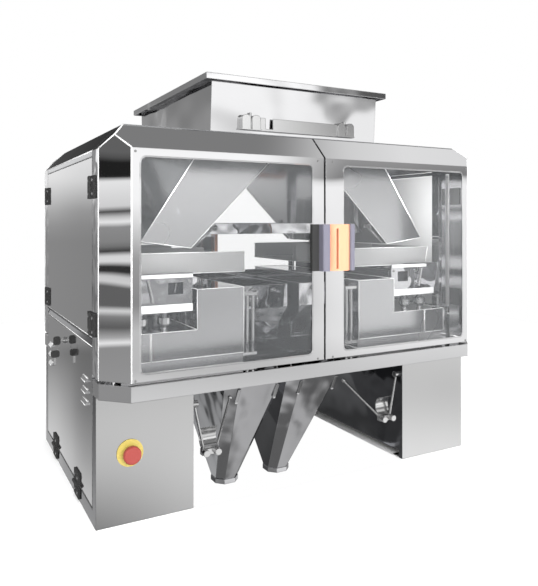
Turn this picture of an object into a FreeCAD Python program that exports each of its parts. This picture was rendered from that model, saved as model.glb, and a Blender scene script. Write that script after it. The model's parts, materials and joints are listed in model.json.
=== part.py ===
import FreeCAD, Part
import math
import os

# Linear weigher: a feed hopper on a chamfered stainless enclosure that stands on two legs.
# Origin at the centre of the footprint, level with the undersides of the legs.
# +X to the right, +Y to the rear, +Z up, all lengths in millimetres.

# Enclosure
width = 1080.0
depth = 786.0
corner_cut = 55.0
sheet = 2.0
seam = 5.0
belt_bottom = 286.0
belt_top = 320.0
belt_sheet = 3.0
door_lift = 7.0
eave_height = 820.0
roof_rise = 56.0
roof_run_front = 57.0
roof_run_side = 54.0
eave_lip = 12.0
panel_gap = 2.0
side_seam_y = 284.0
door_fold = 18.0
post_size = 28.0
post_inset_x = 24.0
post_inset_y = 114.0

# Deck between the enclosure and the legs
deck_sheet = 4.0
deck_side_setback = 22.0
deck_rim_lap = 3.0

# Legs
leg_width = 226.0
leg_front_y = 316.0
leg_notch_height = 20.0
leg_notch_margin = 14.0
foot_flange = 40.0
foot_sheet = 3.0
foot_bolt_r = 6.5

# Lower side door and the plain cover that answers it on the right
side_door_bottom = 38.0
side_door_top = 386.0
side_door_fold = 14.0
cover_gap = 0.5
ledge_top = 410.0
ledge_groove = 6.0
louvre_length = 46.0
louvre_height = 10.0
louvre_depth = 6.0
louvre_pitch = 26.0
louvre_count = 3
louvre_y = 218.0
louvre_top_z = 311.0

# Lock, a chrome barrel with a key in it and a spare key on the ring
lock_y = 25.0
lock_z = 352.0
lock_r = 9.0
lock_proud = 6.0
key_head_width = 22.0
key_head_height = 18.0
key_head_thick = 4.0
key_blade_length = 20.0
key_blade_height = 7.0
key_blade_thick = 2.2
key_stub = 5.0
key_ring_r = 9.0
key_ring_wire = 0.9

# Windows and handles of the doors
window_left_margin = 19.0
stile_left = 34.0
stile_right = 55.0
window_bottom = 342.0
window_drop = 17.0
window_corner_r = 14.0
pane_thick = 5.0
pane_lap = 11.0
handle_bottom = 545.0
handle_height = 113.0
handle_proud = 30.0
handle_corner_r = 5.0
left_recess_width = 19.0
left_grip_width = 21.0
right_grip_width = 54.0
right_rail_width = 14.0
handle_slit_x = 14.0
handle_slit_width = 5.0

# Hinges, all alike
hinge_height = 50.0
hinge_leaf = 30.0
hinge_leaf_thick = 4.0
hinge_axis_out = 4.5
knuckle_r = 4.5
knuckle_gap = 0.5
hinge_pin_r = 2.0
pin_clearance = 0.05
hinge_low_rise = 113.0
hinge_high_drop = 80.0
side_door_hinge_places = [-135.0, 147.0]

# Hopper on the roof
hopper_half_x = 251.0
hopper_half_y_low = 269.0
hopper_half_y_top = 279.0
hopper_height = 146.0
rim_half_x = 272.0
rim_half_y = 295.0
rim_drop = 15.0
bracket_xs = [-146.0, 143.0]
bracket_rise = 17.0
ear_width = 24.0
ear_height = 38.0
ear_pitch = 28.0
ear_proud = 16.0
ear_round = 10.0
ear_pin_r = 3.0
ear_pin_rise = 6.0
front_bar_proud = 12.0
front_bar_height = 33.0
front_bar_sheet = 3.0
front_bar_slot = (28.0, 50.0)

# Chutes that part the stream to the left and the right
chute_half_y = 266.0
chute_top_x = 254.0
chute_mouth_setback = 31.0
chute_mouth_top = 618.0
chute_mouth_inner = (301.0, 601.0)
chute_ridge_rise = 26.0

# Vibrating feeder pans, two on each side
pan_inner_x = 155.0
pan_setback = 28.0
pan_end_slant = 10.0
pan_bottom = 540.0
pan_height = 50.0
pan_outer_y = 265.0
pan_middle_y = 8.0

# Drive housings, L-shaped when seen from the front
housing_inner_x = 175.0
housing_step_x = 298.0
housing_post_gap = 4.0
housing_step_height = 410.0
housing_top = 505.0
housing_half_y = 300.0
housing_joint_setback = 74.0
housing_joint = 3.0
plinth_top = 345.0
plinth_setback = 4.0

# Vibrators on their buffers, between the housings' feet and the pans
buffer_height = 42.0
buffer_neck_r = 8.0
buffer_belly_r = 17.0
buffer_setbacks = [117.0, 59.0]
buffer_inset_y = 20.0
base_inner_x = 303.0
base_setback = 22.0
base_thick = 20.0
frame_near_y = 27.0
frame_far_y = 283.0
cheek_top = 545.0
cheek_slant = 20.0
cheek_window = (327.0, 364.0, 494.0, 522.0)
saddle_inner_x = 330.0
saddle_setback = 44.0
saddle_thick = 12.0
saddle_inset_y = 24.0
leaf_spring_thick = 4.0
leaf_spring_lean = 12.0
magnet_x = (316.0, 376.0)
magnet_inset_y = 30.0
magnet_gap = 4.0

# Cross beams under the chutes' ridge
beam_y = 190.0
beam_bottom = 632.0
beam_height = 28.0
beam_lip = 16.0

# Guide rods between the housings and the buckets
guide_rod_x = [143.0, 159.0]
guide_rod_y = 286.0
guide_rod_r = 4.5
guide_block_low = 334.0
guide_block_high = 482.0
guide_block_thick = 8.0
guide_block_half = 8.0

# Weigh buckets with one hinged gate each
bucket_inner_x = 18.0
bucket_outer_x = 168.0
bucket_near_y = 15.0
bucket_far_y = 245.0
bucket_top = 500.0
bucket_shoulder = 440.0
bucket_mouth_z = 352.0
mouth_inset_x = 18.0
mouth_far_inset_y = 55.0
mouth_near_inset_y = 55.0
bracket_width = 40.0
bracket_bottom = 445.0
bracket_top = 488.0
gate_drop = 2.0
gate_overhang = 6.0
gate_ear_gap = 6.0
gate_pivot_rise = 33.0
gate_pin_r = 4.0
gate_pin_gap = 0.1
gate_pin_end = 2.0
gate_ear_r = 11.0

# Funnels under the deck
funnel_gap = 4.0
funnel_outer_x = 187.0
funnel_half_y = 250.0
funnel_rim_bottom = 270.0
funnel_corner = 30.0
outlet_x = 87.0
outlet_across = 70.0
outlet_corner = 20.0
outlet_top = -80.0
outlet_bottom = -93.0
outlet_band = 1.5
tab_inset = 36.0
tab_width = 9.0
tab_top = 232.0
tab_length = 42.0
tab_thick = 3.0
tab_root = 2.0

# Gate drive links that hang beside the funnels
link_block_length = 44.0
link_wall_gap = 26.0
link_block_y = 300.0
link_block_z = 120.0
link_block_half = 7.0
link_knob_r = 8.0
link_knob_length = 12.0
link_rod_r = 3.0
link_anchor = (178.0, 226.0, 216.0)
link_hanger_z = 236.0
link_hanger_r = 8.0
link_plate_height = 50.0
link_plate_bow = 16.0

# Emergency stop on the left leg
stop_x = -465.0
stop_z = 155.0
stop_plate_r = 30.0
stop_plate_thick = 2.0
stop_collar_r = 15.0
stop_collar_proud = 7.0
stop_button_r = 20.0
stop_button_gap = 5.0
stop_button_thick = 11.0
stop_stem_r = 8.0
stop_stem_gap = 0.3
stop_travel = 4.0

half_x = width / 2
half_y = depth / 2
roof_height = eave_height + roof_rise
door_bottom = belt_top + door_lift
deck_bottom = belt_top - deck_sheet
flat_x = half_x - roof_run_side
flat_y = half_y - roof_run_front
side_edge_y = side_seam_y - seam / 2
window_top = eave_height - window_drop
door_hinge_heights = [door_bottom + hinge_low_rise, eave_height - hinge_high_drop]
housing_outer_x = half_x - post_inset_x - post_size - housing_post_gap
housing_joint_x = housing_outer_x - housing_joint_setback
pan_outer_x = housing_outer_x - pan_setback
base_outer_x = housing_outer_x - base_setback
saddle_outer_x = housing_outer_x - saddle_setback
buffer_places_x = [housing_outer_x - setback for setback in buffer_setbacks]
chute_mouth_outer = (pan_outer_x - chute_mouth_setback, chute_mouth_top)
chute_ridge_height = roof_height + chute_ridge_rise
margin = 10.0


def vec(x, y, z):
    return FreeCAD.Vector(x, y, z)


def box(x0, x1, y0, y1, z0, z1):
    corner = vec(min(x0, x1), min(y0, y1), min(z0, z1))
    return Part.makeBox(abs(x1 - x0), abs(y1 - y0), abs(z1 - z0), corner)


def face_of(points):
    return Part.Face(Part.makePolygon(points + [points[0]]))


def prism_x(yz, x0, x1):
    """A Y-Z outline carried along X."""
    return face_of([vec(x0, y, z) for y, z in yz]).extrude(vec(x1 - x0, 0, 0))


def prism_y(xz, y0, y1):
    """An X-Z outline carried along Y."""
    return face_of([vec(x, y0, z) for x, z in xz]).extrude(vec(0, y1 - y0, 0))


def prism_z(xy, z0, z1):
    """A plan outline carried along Z."""
    return face_of([vec(x, y, z0) for x, y in xy]).extrude(vec(0, 0, z1 - z0))


def strip(start, end, thickness):
    """The outline of a sheet between two points, thickened to the left of its direction."""
    run = math.hypot(end[0] - start[0], end[1] - start[1])
    nx = -(end[1] - start[1]) / run * thickness
    ny = (end[0] - start[0]) / run * thickness
    return [start, end, (end[0] + nx, end[1] + ny), (start[0] + nx, start[1] + ny)]


def rod(start, end, radius):
    axis = end.sub(start)
    return Part.makeCylinder(radius, axis.Length, start, axis)


def mirror_x(shape):
    return shape.mirror(vec(0, 0, 0), vec(1, 0, 0))


def mirror_y(shape):
    return shape.mirror(vec(0, 0, 0), vec(0, 1, 0))


def fuse(pieces):
    whole = pieces[0]
    if len(pieces) > 1:
        whole = whole.multiFuse(pieces[1:])
    return whole.removeSplitter()


def save(name, pieces):
    if isinstance(pieces, list):
        solids = [solid for piece in pieces for solid in piece.Solids]
    else:
        solids = pieces.Solids
    shape = solids[0] if len(solids) == 1 else Part.makeCompound(solids)
    shape.exportStep("parts/" + name + ".step")


def cut_corner_plan(hx, hy, cut):
    """A rectangle about the origin with its four corners cut off."""
    return [(-hx + cut, -hy), (hx - cut, -hy), (hx, -hy + cut), (hx, hy - cut),
            (hx - cut, hy), (-hx + cut, hy), (-hx, hy - cut), (-hx, -hy + cut)]


def inset_face(face, inset):
    """The face with each straight edge moved inwards, corners kept sharp."""
    if inset == 0:
        return face
    return face.makeOffset2D(-inset, 2)


def enclosure_block(inset):
    """The enclosure as a solid: cut corners and a low hipped roof, each face moved in."""
    low = belt_bottom - margin
    front = face_of([vec(x, -half_y, z) for x, z in
                     [(-half_x, low), (half_x, low), (half_x, eave_height),
                      (flat_x, roof_height), (-flat_x, roof_height), (-half_x, eave_height)]])
    side = face_of([vec(-half_x, y, z) for y, z in
                    [(-half_y, low), (half_y, low), (half_y, eave_height),
                     (flat_y, roof_height), (-flat_y, roof_height), (-half_y, eave_height)]])
    plan = face_of([vec(x, y, low) for x, y in cut_corner_plan(half_x, half_y, corner_cut)])
    block = inset_face(front, inset).extrude(vec(0, depth, 0))
    block = block.common(inset_face(side, inset).extrude(vec(width, 0, 0)))
    block = block.common(inset_face(plan, inset).extrude(vec(0, 0, roof_height - low)))
    return block


def door_frame(stile):
    """The front left door as one folded sheet, its edges turned in round the window."""
    outer = enclosure_block(0)
    skin = outer.cut(enclosure_block(sheet))
    folds = outer.cut(enclosure_block(door_fold))
    edge_y = -side_seam_y - seam / 2
    top = roof_height + margin
    meeting_edge = box(-seam / 2 - sheet, -seam / 2, -half_y, 0, door_bottom, top)
    bottom_edge = box(-half_x, 0, -half_y, 0, door_bottom, door_bottom + sheet)
    hinge_edge = box(-half_x, 0, edge_y - sheet, edge_y, door_bottom, top)
    edges = folds.common(fuse([meeting_edge, bottom_edge, hinge_edge]))
    room = box(-half_x, -seam / 2, -half_y, edge_y, door_bottom, top)
    roof = box(-flat_x - seam / 2, 0, -flat_y - seam / 2, 0, eave_height, top)
    room = room.cut(roof)
    whole = fuse([skin.common(room), edges.common(room)])
    return whole.cut(window_block(stile, 0, -half_y - margin, -half_y + sheet))


def window_block(stile, lap, y0, y1):
    """The window of the front left door, its corners rounded, larger by the lap."""
    left = -half_x + corner_cut + window_left_margin - lap
    right = -stile + lap
    block = box(left, right, y0, y1, window_bottom - lap, window_top + lap)
    upright = [e for e in block.Edges if abs(e.tangentAt(e.FirstParameter).y) > 0.99]
    return block.makeFillet(window_corner_r, upright)


def door_pane(stile):
    return window_block(stile, pane_lap, -half_y + sheet, -half_y + sheet + pane_thick)


def rounded_bar(x0, x1, proud, bottom, top):
    """An upright grip on the front door face with its two front edges rounded."""
    block = box(x0, x1, -half_y - proud, -half_y, bottom, top)
    edges = [e for e in block.Edges
             if abs(e.tangentAt(e.FirstParameter).z) > 0.99 and e.CenterOfMass.y < -half_y - 1]
    return block.makeFillet(handle_corner_r, edges)


def left_handle():
    """A low black grip plate beside a raised rail at the meeting edge."""
    top = handle_bottom + handle_height
    rail_x = -seam / 2 - left_grip_width
    plate = box(rail_x - left_recess_width, rail_x, -half_y - handle_proud / 3, -half_y,
                handle_bottom, top)
    rail = rounded_bar(rail_x, -seam / 2, handle_proud, handle_bottom, top)
    return fuse([plate, rail])


def right_handle():
    """A broad bowed grip with an upright slit, closed by a narrow rail."""
    top = handle_bottom + handle_height
    inner = seam / 2
    rail_x = inner + right_grip_width
    start = vec(inner, -half_y - handle_proud / 2, handle_bottom)
    middle = vec(inner + right_grip_width * 0.6, -half_y - handle_proud, handle_bottom)
    end = vec(rail_x, -half_y - handle_proud * 0.8, handle_bottom)
    bow = Part.Arc(start, middle, end).toShape()
    back = Part.makePolygon([end, vec(rail_x, -half_y, handle_bottom),
                             vec(inner, -half_y, handle_bottom), start])
    grip = Part.Face(Part.Wire([bow] + back.Edges)).extrude(vec(0, 0, handle_height))
    slit = box(inner + handle_slit_x, inner + handle_slit_x + handle_slit_width,
               -half_y - handle_proud - 1, -half_y - handle_proud / 3,
               handle_bottom + handle_slit_width, top - 2 * handle_slit_width)
    rail = rounded_bar(rail_x, rail_x + right_rail_width, handle_proud, handle_bottom, top)
    return fuse([grip.cut(slit), rail])


def knuckle_spans():
    """Heights of the five knuckles, the odd ones on the fixed leaf."""
    pitch = hinge_height / 5
    spans = []
    for i in range(5):
        low = -hinge_height / 2 + i * pitch
        spans.append((low + knuckle_gap / 2, low + pitch - knuckle_gap / 2))
    return spans


def hinge():
    """Fixed and moving leaf about an upright axis.

    The panels' outer faces lie at x = 0, the seam at y = 0, the fixed leaf at +y.
    """
    axis_x = -hinge_axis_out
    spans = knuckle_spans()
    fixed_spans = [spans[i] for i in (0, 2, 4)]
    moving_spans = [spans[i] for i in (1, 3)]
    bottom = -hinge_height / 2
    fixed = box(-hinge_leaf_thick, 0, seam / 2, hinge_leaf, bottom, -bottom)
    moving = box(-hinge_leaf_thick, 0, -hinge_leaf, -seam / 2, bottom, -bottom)

    def barrel(span, radius, spare):
        low, high = span
        return Part.makeCylinder(radius, high - low + 2 * spare, vec(axis_x, 0, low - spare))

    for span in moving_spans:
        fixed = fixed.cut(barrel(span, knuckle_r + knuckle_gap, knuckle_gap))
    for span in fixed_spans:
        moving = moving.cut(barrel(span, knuckle_r + knuckle_gap, knuckle_gap))
    pin = Part.makeCylinder(hinge_pin_r, hinge_height, vec(axis_x, 0, bottom))
    bore = Part.makeCylinder(hinge_pin_r + pin_clearance, hinge_height + 2,
                             vec(axis_x, 0, bottom - 1))
    fixed = fuse([fixed, pin] + [barrel(span, knuckle_r, 0) for span in fixed_spans])
    moving = fuse([moving] + [barrel(span, knuckle_r, 0) for span in moving_spans]).cut(bore)
    return fixed, moving


def door_hinges():
    """Hinge leaves of the front left door at their heights: fixed ones, moving ones."""
    fixed, moving = hinge()
    fixed_leaves = []
    moving_leaves = []
    for height in door_hinge_heights:
        place = vec(-half_x, -side_seam_y, height)
        fixed_leaves.append(fixed.translated(place))
        moving_leaves.append(moving.translated(place))
    return fixed_leaves, moving_leaves


def side_door_hinges():
    """Hinge leaves of the lower side door, their axis level under its bottom edge."""
    fixed, moving = hinge()
    fixed_leaves = []
    moving_leaves = []
    for y in side_door_hinge_places:
        place = vec(-half_x, y, side_door_bottom - seam / 2)
        for leaf, leaves in ((fixed, fixed_leaves), (moving, moving_leaves)):
            turned = leaf.rotated(vec(0, 0, 0), vec(1, 0, 0), -90)
            leaves.append(turned.translated(place))
    return fixed_leaves, moving_leaves


def belt():
    """The front band of the table, folded round the corners to the side seam."""
    ring = prism_z(cut_corner_plan(half_x, half_y, corner_cut), belt_bottom, belt_top)
    inner = face_of([vec(x, y, belt_bottom) for x, y in cut_corner_plan(half_x, half_y, corner_cut)])
    ring = ring.cut(inset_face(inner, belt_sheet).extrude(vec(0, 0, belt_top - belt_bottom)))
    reach = box(-half_x, half_x, -half_y, -side_edge_y - seam, belt_bottom, belt_top)
    return ring.common(reach)


def deck():
    """The floor of the enclosure, open in the middle over the funnels."""
    plan = face_of([vec(x, y, deck_bottom) for x, y in cut_corner_plan(half_x, half_y, corner_cut)])
    plate = inset_face(plan, belt_sheet).extrude(vec(0, 0, deck_sheet))
    side = half_x - deck_side_setback
    notch_y = side_edge_y + seam
    left_notch = box(-half_x, -side, -notch_y, notch_y, 0, belt_top)
    hole_x = funnel_outer_x - deck_rim_lap
    hole_y = funnel_half_y - deck_rim_lap
    hole = box(-hole_x, hole_x, -hole_y, hole_y, 0, belt_top)
    return plate.cut(left_notch).cut(mirror_x(left_notch)).cut(hole)


def ledge():
    """The folded strip over the lower side door: a grooved face, a shelf and a skirt."""
    outer = -half_x
    inner = -half_x + deck_side_setback - sheet
    low = side_door_top + seam / 2
    middle = (low + ledge_top) / 2
    groove = [(outer, ledge_top), (outer + ledge_groove, middle), (outer, low),
              (outer + ledge_groove + sheet, low), (outer + ledge_groove + 2 * sheet, middle),
              (outer + ledge_groove + sheet, ledge_top)]
    y = side_edge_y
    bead = prism_y(groove, -y, y)
    shelf = box(outer + ledge_groove, inner + sheet, -y, y, ledge_top - sheet, ledge_top)
    skirt = box(inner, inner + sheet, -y, y, belt_top, ledge_top)
    return fuse([bead, shelf, skirt])


def side_panel():
    top = eave_height - eave_lip - panel_gap
    return box(-half_x, -half_x + sheet, -side_edge_y, side_edge_y, ledge_top, top)


def roof():
    """One folded cover: the flat with the hopper's opening and both side slopes."""
    shell = enclosure_block(0).cut(enclosure_block(sheet))
    low = eave_height - eave_lip
    top = roof_height + margin
    flat_room = box(-flat_x, flat_x, -flat_y, flat_y, low, top)
    side_room = box(-half_x, half_x, -side_edge_y, side_edge_y, low, top)
    cover = shell.common(fuse([flat_room, side_room]))
    open_x = hopper_half_x - sheet
    open_y = hopper_half_y_low - sheet
    return cover.cut(box(-open_x, open_x, -open_y, open_y, low, top))


def corner_post():
    """A square post behind the side seam, cut off under the roof's slope."""
    x = -half_x + post_inset_x
    y = -half_y + post_inset_y
    post = box(x, x + post_size, y, y + post_size, belt_top, roof_height)
    return post.common(enclosure_block(sheet))


def left_leg():
    """A folded box, open towards the side door, with bolted flanges at its foot."""
    x0 = -half_x
    x1 = -half_x + leg_width
    y = leg_front_y
    body = box(x0, x1, -y, y, 0, deck_bottom)
    body = body.cut(box(x0 + sheet, x1 - sheet, -y + sheet, y - sheet, -1, deck_bottom + 1))
    edge_y = side_edge_y + seam
    opening = box(x0 - 1, x0 + sheet + 1, -edge_y, edge_y, side_door_bottom - seam,
                  deck_bottom + 1)
    notch = box(x1 - sheet - 1, x1 + 1, -y + leg_notch_margin, y - leg_notch_margin,
                -1, leg_notch_height)
    belt_room = box(x0 - 1, x0 + belt_sheet + 1, -y - 1, -edge_y,
                    belt_bottom - panel_gap, deck_bottom + 1)
    body = body.cut(opening).cut(notch).cut(belt_room).cut(mirror_y(belt_room))
    flanges = []
    for inner, outer in ((-y + foot_flange, -y + sheet), (y - foot_flange, y - sheet)):
        flange = box(x0 + sheet, x1 - sheet, inner, outer, 0, foot_sheet)
        hole_y = math.copysign(y - foot_flange / 2, inner)
        hole = Part.makeCylinder(foot_bolt_r, foot_sheet + 2,
                                 vec(x0 + leg_width / 2, hole_y, -1))
        flanges.append(flange.cut(hole))
    return fuse([body] + flanges)


def side_cover(gap):
    """A folded tray that fills the opening over the leg's outer side."""
    x = -half_x
    grow = seam - gap
    y = side_edge_y + grow
    low = side_door_bottom - grow
    tray = box(x, x + side_door_fold, -y, y, low, side_door_top)
    hollow = box(x + sheet, x + side_door_fold + 1, -y + sheet, y - sheet, low + sheet,
                 side_door_top - sheet)
    return tray.cut(hollow)


def louvre(y, z):
    """A pressed hood, open below and closed at both ends."""
    x = -half_x
    outline = [(x, z), (x - louvre_depth, z - louvre_height * 0.8),
               (x - louvre_depth, z - louvre_height), (x, z - louvre_height)]
    hood = prism_y(outline, y - louvre_length / 2, y + louvre_length / 2)
    hollow = prism_y([(x + 1, z - sheet), (x - louvre_depth + sheet, z - louvre_height * 0.8),
                      (x - louvre_depth + sheet, z - louvre_height - 1),
                      (x + 1, z - louvre_height - 1)],
                     y - louvre_length / 2 + sheet, y + louvre_length / 2 - sheet)
    return hood.cut(hollow)


def side_door():
    hoods = [louvre(y, louvre_top_z - i * louvre_pitch) for y in (-louvre_y, louvre_y)
             for i in range(louvre_count)]
    return fuse([side_cover(seam)] + hoods)


def key(head_centre, blade_direction):
    """A flat key: a rounded head and a blade, its flat side across Y."""
    head = box(-key_head_height / 2, key_head_height / 2, -key_head_thick / 2, key_head_thick / 2,
               -key_head_width / 2, key_head_width / 2)
    rounded = [e for e in head.Edges if abs(e.tangentAt(e.FirstParameter).y) > 0.99]
    head = head.makeFillet(key_head_width / 4, rounded)
    blade = box(0, key_head_height / 2 + key_blade_length, -key_blade_thick / 2,
                key_blade_thick / 2, -key_blade_height / 2, key_blade_height / 2)
    whole = fuse([head, blade])
    turn = FreeCAD.Rotation(vec(1, 0, 0), blade_direction)
    whole = whole.rotated(vec(0, 0, 0), turn.Axis, math.degrees(turn.Angle))
    return whole.translated(head_centre)


def lock(y, z):
    """A barrel in the door, the key in it, a ring and the spare key that hangs from it."""
    x = -half_x
    barrel = Part.makeCylinder(lock_r, lock_proud, vec(x - lock_proud, y, z), vec(1, 0, 0))
    head_x = x - lock_proud - key_stub - key_head_height / 2
    used_key = key(vec(head_x, y, z), vec(1, 0, 0))
    used_key = used_key.cut(box(x, x + margin, y - margin, y + margin, z - margin, z + margin))
    ring_z = z - key_head_width / 2 - key_ring_r + 2 * key_ring_wire
    ring_x = head_x - key_head_height / 4
    ring = Part.makeTorus(key_ring_r, key_ring_wire, vec(ring_x, y, ring_z), vec(0, 1, 0))
    spare_z = ring_z - key_ring_r - key_head_height / 2 + 2 * key_ring_wire
    spare = key(vec(ring_x, y, spare_z), vec(0, 0, -1))
    return fuse([barrel, used_key, ring, spare])


def rect_ring(hx, hy0, hy1, z):
    return [vec(-hx, hy0, z), vec(hx, hy0, z), vec(hx, hy1, z), vec(-hx, hy1, z)]


def loft(low, high):
    """A straight-sided solid between two outlines with as many corners."""
    wires = [Part.makePolygon(points + [points[0]]) for points in (low, high)]
    return Part.makeLoft(wires, True, True)


def hopper():
    """Four walls, the front and rear ones leaning out, under a flange with a turned-down lip."""
    top = roof_height + hopper_height
    neck = top - rim_drop
    rim = box(-rim_half_x, rim_half_x, -rim_half_y, rim_half_y, neck, top)
    under = box(-rim_half_x + sheet, rim_half_x - sheet, -rim_half_y + sheet, rim_half_y - sheet,
                neck - 1, top - sheet)
    return fuse([rim.cut(under), hopper_walls(0)]).cut(hopper_walls(sheet))


def hopper_front_y():
    """Where the hopper's front wall stands, level with the foot of the brackets."""
    lean = (hopper_half_y_top - hopper_half_y_low) / hopper_height
    return -hopper_half_y_low - lean * bracket_rise


def hopper_bracket(x):
    """Two round-topped ears with a pin between them."""
    wall = hopper_front_y()
    low = roof_height + bracket_rise
    pieces = [rod(vec(x, wall - ear_proud / 2, low), vec(x, wall - ear_proud / 2,
                                                         low + ear_height + ear_pin_rise), ear_pin_r)]
    for middle in (x - ear_pitch / 2, x + ear_pitch / 2):
        ear = box(middle - ear_width / 2, middle + ear_width / 2, wall - ear_proud, wall + 1,
                  low, low + ear_height)
        top = [e for e in ear.Edges if abs(e.tangentAt(e.FirstParameter).y) > 0.99
               and e.CenterOfMass.z > low + 1]
        pieces.append(ear.makeFillet(ear_round, top))
    foot = box(x - ear_pitch, x + ear_pitch, wall - ear_proud, wall + 1, low,
               low + front_bar_sheet)
    return fuse(pieces + [foot])


def hopper_front_bar():
    """The folded bar with its two brackets on the hopper's front wall."""
    wall = hopper_front_y()
    low = roof_height + bracket_rise
    x0 = bracket_xs[0] + ear_pitch / 2
    x1 = bracket_xs[1] - ear_pitch / 2
    face = box(x0, x1, wall - front_bar_proud, wall - front_bar_proud + front_bar_sheet,
               low, low + front_bar_height)
    shelf = box(x0, x1, wall - front_bar_proud, wall + 1, low, low + front_bar_sheet)
    slot = box(x0 + front_bar_slot[0], x0 + front_bar_slot[1], wall - front_bar_proud - 1,
               wall - front_bar_proud + front_bar_sheet + 1, low + 2 * front_bar_sheet,
               low + front_bar_height + 1)
    whole = fuse([face.cut(slot), shelf] + [hopper_bracket(x) for x in bracket_xs])
    return whole.cut(hopper_walls(0))


def hopper_walls(inset):
    """The hopper's body as a solid, its walls moved in."""
    x = hopper_half_x - inset
    y_low = hopper_half_y_low - inset
    y_top = hopper_half_y_top - inset
    return loft(rect_ring(x, -y_low, y_low, roof_height),
                rect_ring(x, -y_top, y_top, roof_height + hopper_height))


def right_chute():
    """A slanting duct from the roof to the pans: outer wall, slide and two cheeks."""
    top = roof_height - sheet
    outer_x, outer_z = chute_mouth_outer
    inner_x, inner_z = chute_mouth_inner
    slide_rise = (chute_ridge_height - inner_z) / inner_x
    slide_top_x = (chute_ridge_height - top) / slide_rise
    y = chute_half_y
    outer = prism_y(strip((outer_x, outer_z), (chute_top_x, top), sheet), -y, y)
    slide = prism_y(strip((0.5, chute_ridge_height), (inner_x, inner_z), sheet), -y, y)
    keep = box(0, half_x, -y, y, inner_z - margin, chute_ridge_height)
    slide = slide.common(keep)
    outer = outer.common(box(0, half_x, -y, y, 0, top))
    outline = [(slide_top_x, top), (chute_top_x, top), (outer_x, outer_z), (inner_x, inner_z)]
    cheeks = [prism_y(outline, -y - sheet, -y), prism_y(outline, y, y + sheet)]
    return fuse([outer, slide] + cheeks)


def pan(y0, y1):
    """A trough, closed at its outer end and open where it empties into the bucket."""
    top = pan_bottom + pan_height
    low_x = pan_outer_x - pan_end_slant
    trough = prism_y([(pan_inner_x, pan_bottom), (low_x, pan_bottom), (pan_outer_x, top),
                      (pan_inner_x, top)], y0, y1)
    hollow = prism_y([(pan_inner_x - 1, pan_bottom + sheet), (low_x - sheet, pan_bottom + sheet),
                      (pan_outer_x - sheet, top + 1), (pan_inner_x - 1, top + 1)],
                     y0 + sheet, y1 - sheet)
    return trough.cut(hollow)


def right_pans():
    return [pan(pan_middle_y, pan_outer_y), pan(-pan_outer_y, -pan_middle_y)]


def right_housing():
    """A block with a step, a joint down its foot and a set-back plinth."""
    outline = [(housing_inner_x, plinth_top), (housing_outer_x, plinth_top),
               (housing_outer_x, housing_step_height), (housing_step_x, housing_step_height),
               (housing_step_x, housing_top), (housing_inner_x, housing_top)]
    y = housing_half_y
    body = prism_y(outline, -y, y)
    plinth = box(housing_inner_x, housing_outer_x - plinth_setback, -y + plinth_setback,
                 y - plinth_setback, belt_top, plinth_top)
    joints = [box(housing_joint_x, housing_joint_x + housing_joint, side * (y - housing_joint),
                  side * (y + 1), plinth_top, housing_step_height + 1) for side in (-1, 1)]
    return fuse([body, plinth]).cut(joints[0]).cut(joints[1])


def buffer(x, y):
    """A bulging rubber foot under the vibrator's base."""
    low = housing_step_height
    steps = [(0, buffer_neck_r), (0.15, buffer_neck_r), (0.35, buffer_belly_r),
             (0.7, buffer_belly_r), (0.9, buffer_neck_r), (1, buffer_neck_r)]
    outline = [vec(x + r, y, low + share * buffer_height) for share, r in steps]
    outline = [vec(x, y, low)] + outline + [vec(x, y, low + buffer_height)]
    return face_of(outline).revolve(vec(x, y, low), vec(0, 0, 1), 360)


def rear_right_buffers():
    feet = []
    for x in buffer_places_x:
        for y in (frame_near_y + buffer_inset_y, frame_far_y - buffer_inset_y):
            feet.append(buffer(x, y))
    return feet


def vibrator_frame():
    """Base plate, two slanted cheeks with a window, leaf springs and the saddle of the pan."""
    base_low = housing_step_height + buffer_height
    base_top = base_low + base_thick
    base = box(base_inner_x, base_outer_x, frame_near_y, frame_far_y, base_low, base_top)
    outline = [(base_inner_x, base_low), (base_outer_x, base_low),
               (base_outer_x + cheek_slant, cheek_top), (base_inner_x, cheek_top)]
    x0, x1, z0, z1 = cheek_window
    window = box(x0, x1, frame_near_y - margin, frame_far_y + margin, z0, z1)
    under_pan = box(0, half_x, 0, pan_outer_y, pan_bottom, roof_height)
    cheeks = [prism_y(outline, frame_near_y, frame_near_y + sheet).cut(window).cut(under_pan),
              prism_y(outline, frame_far_y - sheet, frame_far_y).cut(window)]
    saddle_low = pan_bottom - saddle_thick
    y0 = frame_near_y + saddle_inset_y
    y1 = frame_far_y - saddle_inset_y
    saddle = box(saddle_inner_x, saddle_outer_x, y0, y1, saddle_low, pan_bottom)
    springs = []
    for x in (saddle_inner_x + leaf_spring_lean, saddle_outer_x - leaf_spring_thick):
        leaf = [(x, base_top - 1), (x + leaf_spring_thick, base_top - 1),
                (x + leaf_spring_thick - leaf_spring_lean, saddle_low + 1),
                (x - leaf_spring_lean, saddle_low + 1)]
        springs.append(prism_y(leaf, y0, y1))
    return fuse([base, saddle] + cheeks + springs)


def magnet():
    """The vibrator's magnet, which stands on the base behind the cheeks' windows."""
    x0, x1 = magnet_x
    base_top = housing_step_height + buffer_height + base_thick
    block = box(x0, x1, frame_near_y + magnet_inset_y, frame_far_y - magnet_inset_y, base_top,
                pan_bottom - saddle_thick - magnet_gap)
    return block.cut(vibrator_frame())


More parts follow.
